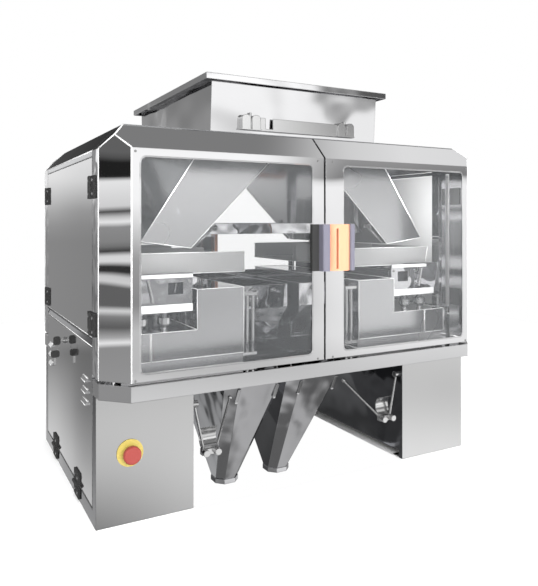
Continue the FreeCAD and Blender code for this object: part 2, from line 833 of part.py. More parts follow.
def cross_beam():
    """An angle between the undersides of the two slides."""
    slide_rise = (chute_ridge_height - chute_mouth_inner[1]) / chute_mouth_inner[0]
    top = beam_bottom + beam_height
    low_x = (chute_ridge_height - beam_bottom) / slide_rise
    top_x = (chute_ridge_height - top) / slide_rise
    under = sheet * math.sqrt(2)
    web = prism_y([(-low_x + under, beam_bottom), (low_x - under, beam_bottom),
                   (top_x - under, top), (-top_x + under, top)], beam_y, beam_y + sheet)
    lip = box(-low_x + under, low_x - under, beam_y - beam_lip, beam_y + sheet, beam_bottom,
              beam_bottom + sheet)
    return fuse([web, lip])


def guide_rods():
    """Two upright rods between blocks on the inner face of the rear right housing."""
    y = guide_rod_y
    pieces = []
    for z in (guide_block_low, guide_block_high):
        pieces.append(box(guide_rod_x[0] - guide_block_half, housing_inner_x,
                          y - guide_block_half, y + guide_block_half, z, z + guide_block_thick))
    for x in guide_rod_x:
        pieces.append(rod(vec(x, y, guide_block_low), vec(x, y, guide_block_high), guide_rod_r))
    return fuse(pieces)


def bucket_outline(inset_x, near_inset, far_inset, shrink, z):
    x0 = bucket_inner_x + inset_x + shrink
    x1 = bucket_outer_x - inset_x - shrink
    y0 = bucket_near_y + near_inset + shrink
    y1 = bucket_far_y - far_inset - shrink
    return [vec(x0, y0, z), vec(x1, y0, z), vec(x1, y1, z), vec(x0, y1, z)]


def gate_pivot():
    """Y and Z of the gate's axis on the rear right bucket."""
    return bucket_far_y - mouth_far_inset_y, bucket_mouth_z + gate_pivot_rise


def ear_faces():
    """X of the faces of the gate's ears that look at the bucket."""
    rise = gate_pivot_rise / (bucket_shoulder - bucket_mouth_z)
    spread = mouth_inset_x * (1 - rise)
    return bucket_inner_x + spread - gate_ear_gap, bucket_outer_x - spread + gate_ear_gap


def bucket():
    """The rear right bucket: a square top, a hopper bottom and pins for its gate."""
    mouth = (mouth_inset_x, mouth_near_inset_y, mouth_far_inset_y)
    shells = []
    for shrink, spill in ((0, 0), (sheet, 1)):
        taper = loft(bucket_outline(*mouth, shrink, bucket_mouth_z),
                     bucket_outline(0, 0, 0, shrink, bucket_shoulder))
        top = face_of(bucket_outline(0, 0, 0, shrink, bucket_shoulder)).extrude(
            vec(0, 0, bucket_top - bucket_shoulder + spill))
        parts = [taper, top]
        if spill:
            parts.append(face_of(bucket_outline(*mouth, shrink, bucket_mouth_z)).extrude(
                vec(0, 0, -spill)))
        shells.append(fuse(parts))
    pivot_y, pivot_z = gate_pivot()
    ear_in, ear_out = ear_faces()
    reach = sheet + gate_pin_end
    pin = rod(vec(ear_in - reach, pivot_y, pivot_z), vec(ear_out + reach, pivot_y, pivot_z),
              gate_pin_r)
    return fuse([shells[0], pin]).cut(shells[1])


def gate():
    """The rear right bucket's gate: a plate under the mouth with an ear at each pin."""
    pivot_y, pivot_z = gate_pivot()
    ear_in, ear_out = ear_faces()
    top = bucket_mouth_z - gate_drop
    near = bucket_near_y + mouth_near_inset_y - gate_overhang
    far = pivot_y + gate_overhang
    plate = box(ear_in - sheet, ear_out + sheet, near, far, top - sheet, top)
    outline = [(near, top), (far, top), (pivot_y + gate_ear_r * 0.9, pivot_z),
               (pivot_y - gate_ear_r * 0.9, pivot_z)]
    ears = []
    for x0, x1 in ((ear_in - sheet, ear_in), (ear_out, ear_out + sheet)):
        cheek = prism_x(outline, x0, x1)
        eye = rod(vec(x0, pivot_y, pivot_z), vec(x1, pivot_y, pivot_z), gate_ear_r)
        ears.append(fuse([cheek, eye]))
    hole = rod(vec(ear_in - margin, pivot_y, pivot_z), vec(ear_out + margin, pivot_y, pivot_z),
               gate_pin_r + gate_pin_gap)
    return fuse([plate] + ears).cut(hole)


def bucket_bracket():
    """The hanger between the housing and the rear right bucket."""
    middle = (bucket_near_y + bucket_far_y) / 2
    return box(bucket_outer_x, housing_inner_x, middle - bracket_width / 2,
               middle + bracket_width / 2, bracket_bottom, bracket_top)


def four_of(shape):
    """The shape at the rear right and its three mirror images."""
    return [shape, mirror_y(shape), mirror_x(shape), mirror_x(mirror_y(shape))]


def cut_corner_ring(centre_x, hx, hy, cut, z):
    return [vec(centre_x + x, y, z) for x, y in cut_corner_plan(hx, hy, cut)]


def right_funnel():
    """Eight flat sides drawn in from the deck's opening to an octagonal outlet collar."""
    centre = (funnel_gap / 2 + funnel_outer_x) / 2
    half = (funnel_outer_x - funnel_gap / 2) / 2
    shells = []
    for shrink, spill in ((0, 0), (sheet, 1)):
        top = (half - shrink, funnel_half_y - shrink, funnel_corner)
        out = outlet_across / 2 - shrink
        low = (out, out, outlet_corner)
        rim = face_of(cut_corner_ring(centre, *top, funnel_rim_bottom)).extrude(
            vec(0, 0, deck_bottom - funnel_rim_bottom + spill))
        cone = loft(cut_corner_ring(outlet_x, *low, outlet_top),
                    cut_corner_ring(centre, *top, funnel_rim_bottom))
        neck = face_of(cut_corner_ring(outlet_x, *low, outlet_top)).extrude(
            vec(0, 0, outlet_bottom - outlet_top - spill))
        shells.append(fuse([rim, cone, neck]))
    band_half = outlet_across / 2 + outlet_band
    band = face_of(cut_corner_ring(outlet_x, band_half, band_half, outlet_corner, outlet_top))
    collar = band.extrude(vec(0, 0, outlet_bottom - outlet_top))
    return fuse([shells[0], collar]).cut(shells[1])


def funnel_front_y(z):
    """How far the funnel's front face stands from the middle at a height."""
    share = (z - outlet_top) / (funnel_rim_bottom - outlet_top)
    return outlet_across / 2 + (funnel_half_y - outlet_across / 2) * min(share, 1)


def funnel_tab(x):
    """A hanging strap with a round end, hooked on the funnel's rear face."""
    low = tab_top - tab_length
    y = funnel_front_y(low + tab_width)
    top_y = funnel_front_y(tab_top)
    strap = prism_x([(y, low + tab_width / 2), (y + tab_thick, low + tab_width / 2),
                     (top_y + tab_thick, tab_top), (top_y - tab_root, tab_top)],
                    x - tab_width / 2, x + tab_width / 2)
    end = rod(vec(x, y - tab_root, low + tab_width / 2), vec(x, y + tab_thick, low + tab_width / 2),
              tab_width / 2)
    return fuse([strap, end])


def funnel_tabs():
    tabs = []
    for x in (funnel_gap / 2 + tab_inset, funnel_outer_x - tab_inset):
        for tab in (funnel_tab(x), mirror_y(funnel_tab(x))):
            tabs.append(tab.cut(filled_funnel()))
    return tabs


def filled_funnel():
    centre = (funnel_gap / 2 + funnel_outer_x) / 2
    half = (funnel_outer_x - funnel_gap / 2) / 2
    out = outlet_across / 2
    return loft(cut_corner_ring(outlet_x, out, out, outlet_corner, outlet_top),
                cut_corner_ring(centre, half, funnel_half_y, funnel_corner, funnel_rim_bottom))


def gate_link():
    """Rear right drive link: a block with two knobs, a bowed plate, a rod to the funnel, a hanger."""
    wall_x = half_x - leg_width
    x1 = wall_x - link_wall_gap
    x0 = x1 - link_block_length
    y = link_block_y
    z = link_block_z
    half = link_block_half
    block = box(x0, x1, y - half, y + half, z - half, z + half)
    knobs = []
    for x in (x0 + half, x1 - half):
        knobs.append(Part.makeCylinder(link_knob_r, link_knob_length + half,
                                       vec(x, y, z), vec(0, 1, 0)))
    anchor = vec(*link_anchor)
    pull = rod(vec(x0 + half, y, z), anchor, link_rod_r)
    boss = Part.makeCylinder(link_hanger_r, link_hanger_r * 2,
                             vec(wall_x - link_hanger_r * 2, y, link_hanger_z), vec(1, 0, 0))
    hanger = rod(vec(x1 - half, y, z), vec(wall_x - link_hanger_r, y, link_hanger_z), link_rod_r)
    top = z + half + link_plate_height
    bow = Part.Arc(vec(x0, y, z + half), vec(x0, y - link_plate_bow, (z + half + top) / 2),
                   vec(x0, y, top)).toShape()
    back = Part.Arc(vec(x0, y + sheet, top),
                    vec(x0, y + sheet - link_plate_bow, (z + half + top) / 2),
                    vec(x0, y + sheet, z + half)).toShape()
    ends = [Part.makeLine(vec(x0, y, top), vec(x0, y + sheet, top)),
            Part.makeLine(vec(x0, y + sheet, z + half), vec(x0, y, z + half))]
    plate = Part.Face(Part.Wire([bow, ends[0], back, ends[1]])).extrude(vec(x1 - x0, 0, 0))
    eye = Part.makeSphere(link_rod_r * 2, anchor)
    link = fuse([block, pull, boss, hanger, plate, eye] + knobs)
    return link.cut(filled_funnel())


def stop_plate():
    """The round plate on the left leg with the collar that guides the button."""
    y = -leg_front_y
    plate = rod(vec(stop_x, y, stop_z), vec(stop_x, y - stop_plate_thick, stop_z), stop_plate_r)
    collar = rod(vec(stop_x, y, stop_z),
                 vec(stop_x, y - stop_plate_thick - stop_collar_proud, stop_z), stop_collar_r)
    bore = rod(vec(stop_x, y + 1, stop_z),
               vec(stop_x, y - stop_plate_thick - stop_collar_proud - 1, stop_z),
               stop_stem_r + stop_stem_gap)
    return fuse([plate, collar]).cut(bore)


def stop_button():
    """The mushroom head and its stem."""
    back = -leg_front_y - stop_plate_thick - stop_collar_proud - stop_button_gap
    head = Part.makeCylinder(stop_button_r, stop_button_thick, vec(stop_x, back, stop_z),
                             vec(0, -1, 0))
    front = [e for e in head.Edges if e.CenterOfMass.y < back - stop_button_thick + 0.1
             and len(e.Vertexes) == 1]
    head = head.makeFillet(stop_button_thick * 0.45, front)
    stem = rod(vec(stop_x, back - 1, stop_z),
               vec(stop_x, -leg_front_y - stop_travel - 1, stop_z), stop_stem_r)
    return fuse([head, stem])


def save_doors():
    """Four doors, the rear ones mirror images of the front ones."""
    fixed_leaves, moving_leaves = door_hinges()
    places = [("front_left", stile_left, False, False), ("front_right", stile_right, True, False),
              ("rear_left", stile_left, False, True), ("rear_right", stile_right, True, True)]
    fixed = []
    for name, stile, right, rear in places:
        pieces = {"frame": [door_frame(stile)], "window": [door_pane(stile)],
                  "hinges": moving_leaves}
        handle = mirror_x(right_handle()) if right else left_handle()
        pieces["handle"] = [handle]
        leaves = fixed_leaves
        for piece, shapes in pieces.items():
            if right:
                shapes = [mirror_x(shape) for shape in shapes]
            if rear:
                shapes = [mirror_y(shape) for shape in shapes]
            save(name + "_door_" + piece, shapes)
        if right:
            leaves = [mirror_x(leaf) for leaf in leaves]
        if rear:
            leaves = [mirror_y(leaf) for leaf in leaves]
        fixed.extend(leaves)
    return fixed


def main():
    os.makedirs("parts", exist_ok=True)
    save("left_leg", left_leg())
    save("right_leg", mirror_x(left_leg()))
    save("front_belt", belt())
    save("rear_belt", mirror_y(belt()))
    save("deck", deck())
    save("corner_posts", four_of(corner_post()))
    save("left_ledge", ledge())
    save("right_ledge", mirror_x(ledge()))
    save("left_side_panel", side_panel())
    save("right_side_panel", mirror_x(side_panel()))
    save("roof", roof())
    save("hopper", hopper())
    save("hopper_front_bar", hopper_front_bar())
    save("right_chute", right_chute())
    save("left_chute", mirror_x(right_chute()))
    save("feeder_pans", right_pans() + [mirror_x(p) for p in right_pans()])
    buffers = rear_right_buffers()
    save("vibrator_buffers", [foot for b in buffers for foot in four_of(b)])
    save("vibrator_frames", four_of(vibrator_frame()))
    save("vibrator_magnets", four_of(magnet()))
    save("cross_beams", [cross_beam(), mirror_y(cross_beam())])
    save("guide_rods", four_of(guide_rods()))
    save("right_drive_housing", right_housing())
    save("left_drive_housing", mirror_x(right_housing()))
    save("weigh_buckets", four_of(bucket()))
    save("bucket_brackets", four_of(bucket_bracket()))
    names = ["rear_right_gate", "front_right_gate", "rear_left_gate", "front_left_gate"]
    for name, shape in zip(names, four_of(gate())):
        save(name, shape)
    save("right_funnel", right_funnel())
    save("left_funnel", mirror_x(right_funnel()))
    tabs = funnel_tabs()
    save("funnel_tabs", tabs + [mirror_x(tab) for tab in tabs])
    save("gate_links", four_of(gate_link()))
    fixed = save_doors()
    side_fixed, side_moving = side_door_hinges()
    save("fixed_hinge_leaves", fixed + side_fixed)
    save("side_door_panel", side_door())
    save("side_door_hinges", side_moving)
    save("side_door_lock", [lock(lock_y, lock_z)])
    save("right_leg_cover", mirror_x(side_cover(cover_gap)))
    save("stop_plate", stop_plate())
    save("stop_button", stop_button())


main()
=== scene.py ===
import json
import math

import bmesh
import bpy
from mathutils import Matrix, Vector


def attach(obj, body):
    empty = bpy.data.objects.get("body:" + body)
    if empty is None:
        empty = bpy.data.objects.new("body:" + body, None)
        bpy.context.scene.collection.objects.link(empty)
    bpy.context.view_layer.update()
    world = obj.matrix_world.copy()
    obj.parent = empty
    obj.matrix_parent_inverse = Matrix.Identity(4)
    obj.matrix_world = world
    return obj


bl_info = {
    "name": "Linear Weigher",
    "version": (1, 0, 0),
    "blender": (4, 5, 0),
    "location": "3D View > Sidebar > Weigher",
    "description": "Finishes, fittings and studio of a stainless linear weigher",
    "category": "Object",
}

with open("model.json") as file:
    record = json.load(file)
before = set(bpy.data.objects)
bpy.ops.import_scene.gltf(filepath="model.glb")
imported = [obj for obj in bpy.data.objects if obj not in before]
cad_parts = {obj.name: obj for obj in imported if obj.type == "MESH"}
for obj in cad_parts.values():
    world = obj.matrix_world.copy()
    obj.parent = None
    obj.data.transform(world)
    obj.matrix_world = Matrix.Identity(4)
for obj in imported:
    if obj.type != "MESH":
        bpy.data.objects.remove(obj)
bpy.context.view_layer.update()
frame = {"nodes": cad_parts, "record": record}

MM = 0.001
HALF_X = 540 * MM
HALF_Y = 393 * MM
SIDES = (-1, 1)
CORNERS = [(-1, -1), (1, -1), (-1, 1), (1, 1)]
CORNER_CUT = 55 * MM
SIDE_SEAM_Y = 284 * MM
DOOR_BOTTOM = 327 * MM
EAVE = 820 * MM
ROOF_RISE = 56 * MM
SIDE_RUN = 54 * MM
FRONT_RUN = 57 * MM
HINGE_HEIGHTS = (440 * MM, 740 * MM)
SPARE_KEY = Vector((-564.5 * MM, 25 * MM, 317.6 * MM))
USED_KEY = Vector((-560 * MM, 25 * MM, 352 * MM))
LOUVRE_Y = 218 * MM
LOUVRE_TOPS = (311 * MM, 285 * MM, 259 * MM)


# The room's tones by sine of elevation, from the floor up to the ceiling, one list per side.
FRONT_BANDS = [(-1.0, 0.20), (-0.93, 0.15), (-0.90, 0.62), (-0.86, 0.55), (-0.83, 0.14),
               (-0.62, 0.22), (-0.50, 0.72), (-0.34, 1.12), (-0.27, 1.00), (-0.235, 0.68),
               (-0.17, 0.72), (-0.13, 0.34), (-0.06, 0.46), (0.03, 1.26), (0.10, 1.30),
               (0.14, 1.12), (0.18, 1.50), (0.25, 1.50), (0.28, 0.15), (0.50, 0.25),
               (0.88, 0.27), (1.0, 0.27)]
# The same side as the left edge of the left leg mirrors it: a darker floor.
FRONT_EDGE_BANDS = [(-1.0, 0.20), (-0.93, 0.15), (-0.90, 0.62), (-0.86, 0.55), (-0.83, 0.14),
                    (-0.66, 0.22), (-0.60, 0.55), (-0.57, 0.10), (-0.46, 0.10), (-0.41, 0.50),
                    (-0.36, 0.95), (-0.29, 1.00), (-0.235, 0.68), (-0.17, 0.72), (-0.13, 0.34),
                    (-0.06, 0.46), (0.03, 1.26), (0.10, 1.30), (0.25, 1.50), (0.28, 0.15),
                    (0.50, 0.25), (1.0, 0.27)]
RIGHT_BANDS = [(-1.0, 0.20), (-0.93, 0.15), (-0.90, 0.70), (-0.86, 0.60), (-0.83, 0.14),
               (-0.62, 0.30), (-0.50, 1.25), (-0.34, 1.40), (-0.26, 0.76), (-0.18, 1.08),
               (-0.05, 1.15), (0.06, 1.2), (0.07, 0.28), (0.12, 0.50), (0.16, 0.12), (0.30, 0.12),
               (0.45, 0.8), (0.74, 0.98), (0.85, 0.7), (1.0, 0.27)]
LEFT_BANDS = [(-1.0, 0.10), (-0.80, 0.15), (-0.76, 0.55), (-0.66, 0.12), (-0.50, 0.15),
              (-0.28, 0.42), (-0.193, 0.36), (-0.190, 1.1), (-0.183, 1.1), (-0.180, 0.55),
              (-0.163, 0.12), (-0.147, 0.32), (-0.144, 0.90), (-0.135, 0.90), (-0.133, 0.16),
              (-0.097, 0.16), (-0.095, 0.85), (-0.082, 0.75), (-0.080, 0.04), (-0.068, 0.04),
              (-0.066, 0.95), (-0.049, 0.90), (-0.047, 0.05), (-0.036, 0.30), (-0.006, 0.36),
              (-0.003, 1.1), (0.007, 1.1), (0.009, 0.08), (0.021, 0.08), (0.023, 0.85),
              (0.066, 1.1), (0.069, 0.02)]
LEFT_CEILING = [(-1.0, 0.02), (0.095, 0.02), (0.105, 0.16), (0.145, 0.16), (0.2, 0.9),
                (0.4, 0.8), (1.0, 0.27)]
REAR_BANDS = [(-1.0, 0.10), (-0.72, 0.10), (-0.68, 0.45), (-0.60, 0.40), (-0.55, 0.12),
              (-0.37, 0.28), (-0.27, 0.65), (-0.22, 0.60), (-0.147, 0.30), (0.02, 0.42),
              (0.09, 0.85), (0.12, 0.36), (0.15, 0.10), (0.26, 0.05), (0.32, 0.30),
              (0.6, 0.6), (1.0, 0.27)]
# The rear as the machine's left side mirrors it, at its far end and at its near end.
REAR_FAR_BANDS = [(-1.0, 0.30), (-0.34, 0.90), (-0.28, 0.67), (-0.242, 0.50), (-0.20, 0.30),
                  (-0.185, 0.32), (-0.03, 0.32), (-0.005, 0.40), (0.018, 0.57), (0.042, 0.80),
                  (0.066, 1.02), (0.14, 1.25), (0.17, 0.40), (0.5, 0.40), (1.0, 0.27)]
REAR_NEAR_BANDS = [(-1.0, 0.30), (-0.50, 0.90), (-0.394, 0.66), (-0.347, 0.44), (-0.28, 0.25),
                   (-0.20, 0.20), (-0.185, 0.32), (-0.03, 0.32), (-0.005, 0.36), (0.018, 0.44),
                   (0.042, 0.68), (0.066, 0.94), (0.14, 1.20), (0.17, 0.40), (0.5, 0.40),
                   (1.0, 0.27)]
# Further round to the left, as the funnels and the hopper's left wall mirror it.
REAR_SIDE_BANDS = [(-1.0, 0.10), (-0.50, 0.12), (-0.37, 0.22), (-0.30, 0.10), (-0.22, 0.35),
                   (-0.147, 0.20), (0.10, 0.35), (0.16, 0.36), (0.19, 0.26), (0.5, 0.30),
                   (1.0, 0.27)]


def linear(colour):
    """A linear colour with full alpha from an sRGB hex value."""
    channels = [int(colour[i:i + 2], 16) / 255 for i in (1, 3, 5)]
    steps = [c / 12.92 if c <= 0.04045 else ((c + 0.055) / 1.055) ** 2.4 for c in channels]
    return (*steps, 1.0)


def add_node(tree, kind, values=None, links=None, **settings):
    """One shader node with its settings, its socket values and what feeds its sockets."""
    new = tree.nodes.new(kind)
    for name, value in settings.items():
        setattr(new, name, value)
    for name, value in (values or {}).items():
        new.inputs[name].default_value = value
    for name, socket in (links or {}).items():
        tree.links.new(socket, new.inputs[name])
    return new


def blank_material(name):
    """A new material with its output and an empty tree in front of it."""
    material = bpy.data.materials.new(name)
    material.use_nodes = True
    tree = material.node_tree
    tree.nodes.clear()
    output = add_node(tree, "ShaderNodeOutputMaterial")
    return material, tree, output


def stainless_steel(name, colour, roughness, grain, grain_depth, wave_depth, spread=0.04,
                    wave_size=240 * MM):
    """Stainless sheet: grain lines along one axis, the slow wave of thin sheet, soft bend edges.

    grain is the axis that the lines run along. Real grinding lines are about 0.05 mm apart and
    too fine to show, so they are drawn 0.8 mm apart.
    """
    material, tree, output = blank_material(name)
    place = add_node(tree, "ShaderNodeTexCoord").outputs["Object"]
    line_scale = 1 / (0.8 * MM)
    along = 1 / (160 * MM)
    scale = [along if axis == grain else line_scale for axis in "XYZ"]
    stretched = add_node(tree, "ShaderNodeMapping", {"Scale": scale}, {"Vector": place})
    lines = add_node(tree, "ShaderNodeTexNoise", {"Scale": 1.0, "Detail": 2.0},
                     {"Vector": stretched.outputs["Vector"]})
    clouds = add_node(tree, "ShaderNodeTexNoise", {"Scale": 1 / wave_size, "Detail": 1.0},
                      {"Vector": place})
    rough = add_node(tree, "ShaderNodeMapRange",
                     {"To Min": max(roughness - spread, 0.01), "To Max": roughness + spread},
                     {"Value": clouds.outputs["Fac"]})
    edge = add_node(tree, "ShaderNodeBevel", {"Radius": 2.2 * MM}, samples=4)
    wave = add_node(tree, "ShaderNodeBump", {"Strength": 1.0, "Distance": wave_depth},
                    {"Height": clouds.outputs["Fac"], "Normal": edge.outputs["Normal"]})
    bump = add_node(tree, "ShaderNodeBump", {"Strength": 1.0, "Distance": grain_depth},
                    {"Height": lines.outputs["Fac"], "Normal": wave.outputs["Normal"]})
    shader = add_node(tree, "ShaderNodeBsdfPrincipled",
                      {"Base Color": linear(colour), "Metallic": 1.0},
                      {"Roughness": rough.outputs["Result"], "Normal": bump.outputs["Normal"]})
    tree.links.new(shader.outputs["BSDF"], output.inputs["Surface"])
    return material


def moulded_plastic(name, colour, roughness, sparkle=0.05, ior=1.5):
    """Moulded plastic or cast metal with the fine leather grain of its mould, 1.2 mm apart."""
    material, tree, output = blank_material(name)
    place = add_node(tree, "ShaderNodeTexCoord").outputs["Object"]
    grain = add_node(tree, "ShaderNodeTexNoise", {"Scale": 1 / (1.2 * MM), "Detail": 2.0},
                     {"Vector": place})
    rough = add_node(tree, "ShaderNodeMapRange",
                     {"To Min": roughness - sparkle, "To Max": roughness + sparkle},
                     {"Value": grain.outputs["Fac"]})
    bump = add_node(tree, "ShaderNodeBump", {"Strength": 0.4, "Distance": 0.05 * MM},
                    {"Height": grain.outputs["Fac"]})
    shader = add_node(tree, "ShaderNodeBsdfPrincipled",
                      {"Base Color": colour, "IOR": ior},
                      {"Roughness": rough.outputs["Result"], "Normal": bump.outputs["Normal"]})
    tree.links.new(shader.outputs["BSDF"], output.inputs["Surface"])
    return material


def clear_acrylic(name, colour, alpha):
    """Cast acrylic sheet: see-through, glossy by its Fresnel share, a faint wipe haze 90 mm wide."""
    material, tree, output = blank_material(name)
    place = add_node(tree, "ShaderNodeTexCoord").outputs["Object"]
    wipe = add_node(tree, "ShaderNodeTexNoise", {"Scale": 1 / (90 * MM), "Detail": 2.0},
                    {"Vector": place})
    rough = add_node(tree, "ShaderNodeMapRange", {"To Min": 0.01, "To Max": 0.04},
                     {"Value": wipe.outputs["Fac"]})
    body = add_node(tree, "ShaderNodeBsdfPrincipled",
                    {"Base Color": linear(colour), "IOR": 1.49, "Alpha": alpha},
                    {"Roughness": rough.outputs["Result"]})
    gloss = add_node(tree, "ShaderNodeBsdfGlossy", {"Color": linear("#FFFFFF")},
                     {"Roughness": rough.outputs["Result"]})
    share = add_node(tree, "ShaderNodeFresnel", {"IOR": 1.49})
    # Only the face towards the viewer reflects, so the sheet never turns opaque from inside.
    back = add_node(tree, "ShaderNodeNewGeometry").outputs["Backfacing"]
    seen = add_node(tree, "ShaderNodeMath", {0: 1.0}, operation="SUBTRACT")
    tree.links.new(back, seen.inputs[1])
    facing = add_node(tree, "ShaderNodeMath", operation="MULTIPLY")
    tree.links.new(share.outputs["Fac"], facing.inputs[0])
    tree.links.new(seen.outputs["Value"], facing.inputs[1])
    shader = add_node(tree, "ShaderNodeMixShader", links={"Fac": facing.outputs["Value"]})
    tree.links.new(body.outputs["BSDF"], shader.inputs[1])
    tree.links.new(gloss.outputs["BSDF"], shader.inputs[2])
    tree.links.new(shader.outputs["Shader"], output.inputs["Surface"])
    return material


def pale_metal(name, colour, roughness):
    """Blasted plate, mill sheet and the bars of painted highlights: pale, nearly even from every
    side, with a 2 mm mottle.
    """
    material, tree, output = blank_material(name)
    place = add_node(tree, "ShaderNodeTexCoord").outputs["Object"]
    mottle = add_node(tree, "ShaderNodeTexNoise", {"Scale": 1 / (2 * MM), "Detail": 2.0},
                      {"Vector": place})
    rough = add_node(tree, "ShaderNodeMapRange",
                     {"To Min": roughness - 0.06, "To Max": roughness + 0.06},
                     {"Value": mottle.outputs["Fac"]})
    shader = add_node(tree, "ShaderNodeBsdfPrincipled",
                      {"Base Color": linear(colour), "Metallic": 0.35},
                      {"Roughness": rough.outputs["Result"]})
    tree.links.new(shader.outputs["BSDF"], output.inputs["Surface"])
    return material


def colour_property(name, description, colour):
    return bpy.props.FloatVectorProperty(name=name, description=description, subtype="COLOR",
                                         size=4, min=0.0, max=1.0, default=linear(colour))


class WeigherSizes(bpy.types.PropertyGroup):
    screw_radius: bpy.props.FloatProperty(
        name="Screw radius", description="Radius of the pan heads on the hinges and covers",
        default=4.0 * MM, unit="LENGTH")
    nut_radius: bpy.props.FloatProperty(
        name="Nut radius", description="Radius of the nuts inside the machine",
        default=6.5 * MM, unit="LENGTH")
    # Radius of the pale bars that paint the highlights of the doors' bends.
    bend_radius: bpy.props.FloatProperty(
        name="Bend radius", description="Outer radius of the bends of the polished doors",
        default=1.8 * MM, unit="LENGTH")
    # Radius of the pale bars that paint the highlights of the inner sheet pieces' folds.
    fold_radius: bpy.props.FloatProperty(
        name="Fold radius", description="Outer radius of the folds of the inner sheet pieces",
        default=0.8 * MM, unit="LENGTH")
    bead_width: bpy.props.FloatProperty(
        name="Window bead", description="Width of the polished bead round each window",
        default=2.5 * MM, unit="LENGTH")
    platform_gap_x: bpy.props.FloatProperty(
        name="Cut-out half width", description="Half the width of the platform's cut-out",
        default=310 * MM, unit="LENGTH")
    platform_gap_y: bpy.props.FloatProperty(
        name="Cut-out half depth", description="Half the depth of the platform's cut-out",
        default=330 * MM, unit="LENGTH")
    floor_radius: bpy.props.FloatProperty(
        name="Floor reach", description="How far the pale floor reaches",
        default=2.6, unit="LENGTH")


class WeigherFinishes(bpy.types.PropertyGroup):
    acrylic_alpha: bpy.props.FloatProperty(
        name="Window density", description="How much of the view a window pane covers",
        default=0.04, min=0.0, max=1.0)
    floor_colour: colour_property("Floor", "Colour of the pale floor", "#F7F7F7")
    grey_grip: colour_property("Left grips", "Colour of the grey door grips", "#696874")
    orange_grip: colour_property("Right grips", "Colour of the orange door grips", "#DA9676")
    stop_plate: colour_property("Stop plate", "Colour of the plate round the stop button",
                                "#B2A053")
    stop_button: colour_property("Stop button", "Colour of the stop button", "#8C3B36")


def door_name(x, y):
    return ("front" if y < 0 else "rear") + ("_left" if x < 0 else "_right") + "_door"


def new_piece(name, bm, body, material, bevel=0.0, smooth=False):
    """An object at the origin from a finished bmesh, riding on a body."""
    if bevel:
        sharp = [e for e in bm.edges if e.is_manifold and e.calc_face_angle(0) > math.radians(40)]
        bmesh.ops.bevel(bm, geom=sharp, offset=bevel, affect="EDGES", segments=2, profile=0.5,
                        material=-1)
    bmesh.ops.recalc_face_normals(bm, faces=bm.faces)
    mesh = bpy.data.meshes.new(name)
    bm.to_mesh(mesh)
    bm.free()
    for face in mesh.polygons:
        face.use_smooth = smooth
    piece = bpy.data.objects.new(name, mesh)
    bpy.context.scene.collection.objects.link(piece)
    mesh.materials.append(bpy.data.materials[material])
    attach(piece, body)
    return piece


def turn_to(axis):
    """The turn that takes +Z to an axis."""
    return Vector((0, 0, 1)).rotation_difference(Vector(axis)).to_matrix().to_4x4()


def add_round(bm, start, axis, radius, length, sides=20, end_radius=None):
    """A round bar or cone from its start along an axis, all in metres."""
    middle = Vector(start) + Vector(axis).normalized() * length / 2
    matrix = Matrix.Translation(middle) @ turn_to(axis)
    end = radius if end_radius is None else end_radius
    return bmesh.ops.create_cone(bm, cap_ends=True, segments=sides, radius1=radius, radius2=end,
                                 depth=length, matrix=matrix)


def add_block(bm, low, high):
    """A block between two corners."""
    low, high = Vector(low), Vector(high)
    size = high - low
    matrix = Matrix.Translation((low + high) / 2) @ Matrix.Diagonal((*size, 1.0))
    return bmesh.ops.create_cube(bm, size=1.0, matrix=matrix)


def add_screw(bm, seat, axis, radius):
    """A pan head on its seat with a hexagon socket pressed into it."""
    made = add_round(bm, seat, axis, radius, radius * 0.55, 16, radius * 0.8)
    way = Vector(axis).normalized()
    top = [f for f in {f for v in made["verts"] for f in v.link_faces}
           if f.normal.dot(way) > 0.99]
    ring = bmesh.ops.inset_region(bm, faces=top, thickness=radius * 0.35)
    bmesh.ops.translate(bm, vec=-way * radius * 0.3,
                        verts=list({v for f in top for v in f.verts}))
    return ring


def spin_profile(bm, centre, axis, profile, steps=28):
    """A turned piece from (radius, height) pairs, spun about an axis through its centre."""
    matrix = Matrix.Translation(centre) @ turn_to(axis)
    verts = [bm.verts.new(matrix @ Vector((r, 0, h))) for r, h in profile]
    edges = [bm.edges.new(pair) for pair in zip(verts, verts[1:])]
    bmesh.ops.spin(bm, geom=verts + edges, cent=centre, axis=matrix.to_3x3() @ Vector((0, 0, 1)),
                   angle=2 * math.pi, steps=steps, use_merge=True)
    bmesh.ops.remove_doubles(bm, verts=bm.verts, dist=1e-6)


def paint_faces(node, finish, belongs):
    """A second finish for the faces of a CAD node whose centre and normal pass a test."""
    mesh = frame["nodes"][node].data
    mesh.materials.append(bpy.data.materials[finish])
    for face in mesh.polygons:
        if belongs(face.center, face.normal):
            face.material_index = len(mesh.materials) - 1


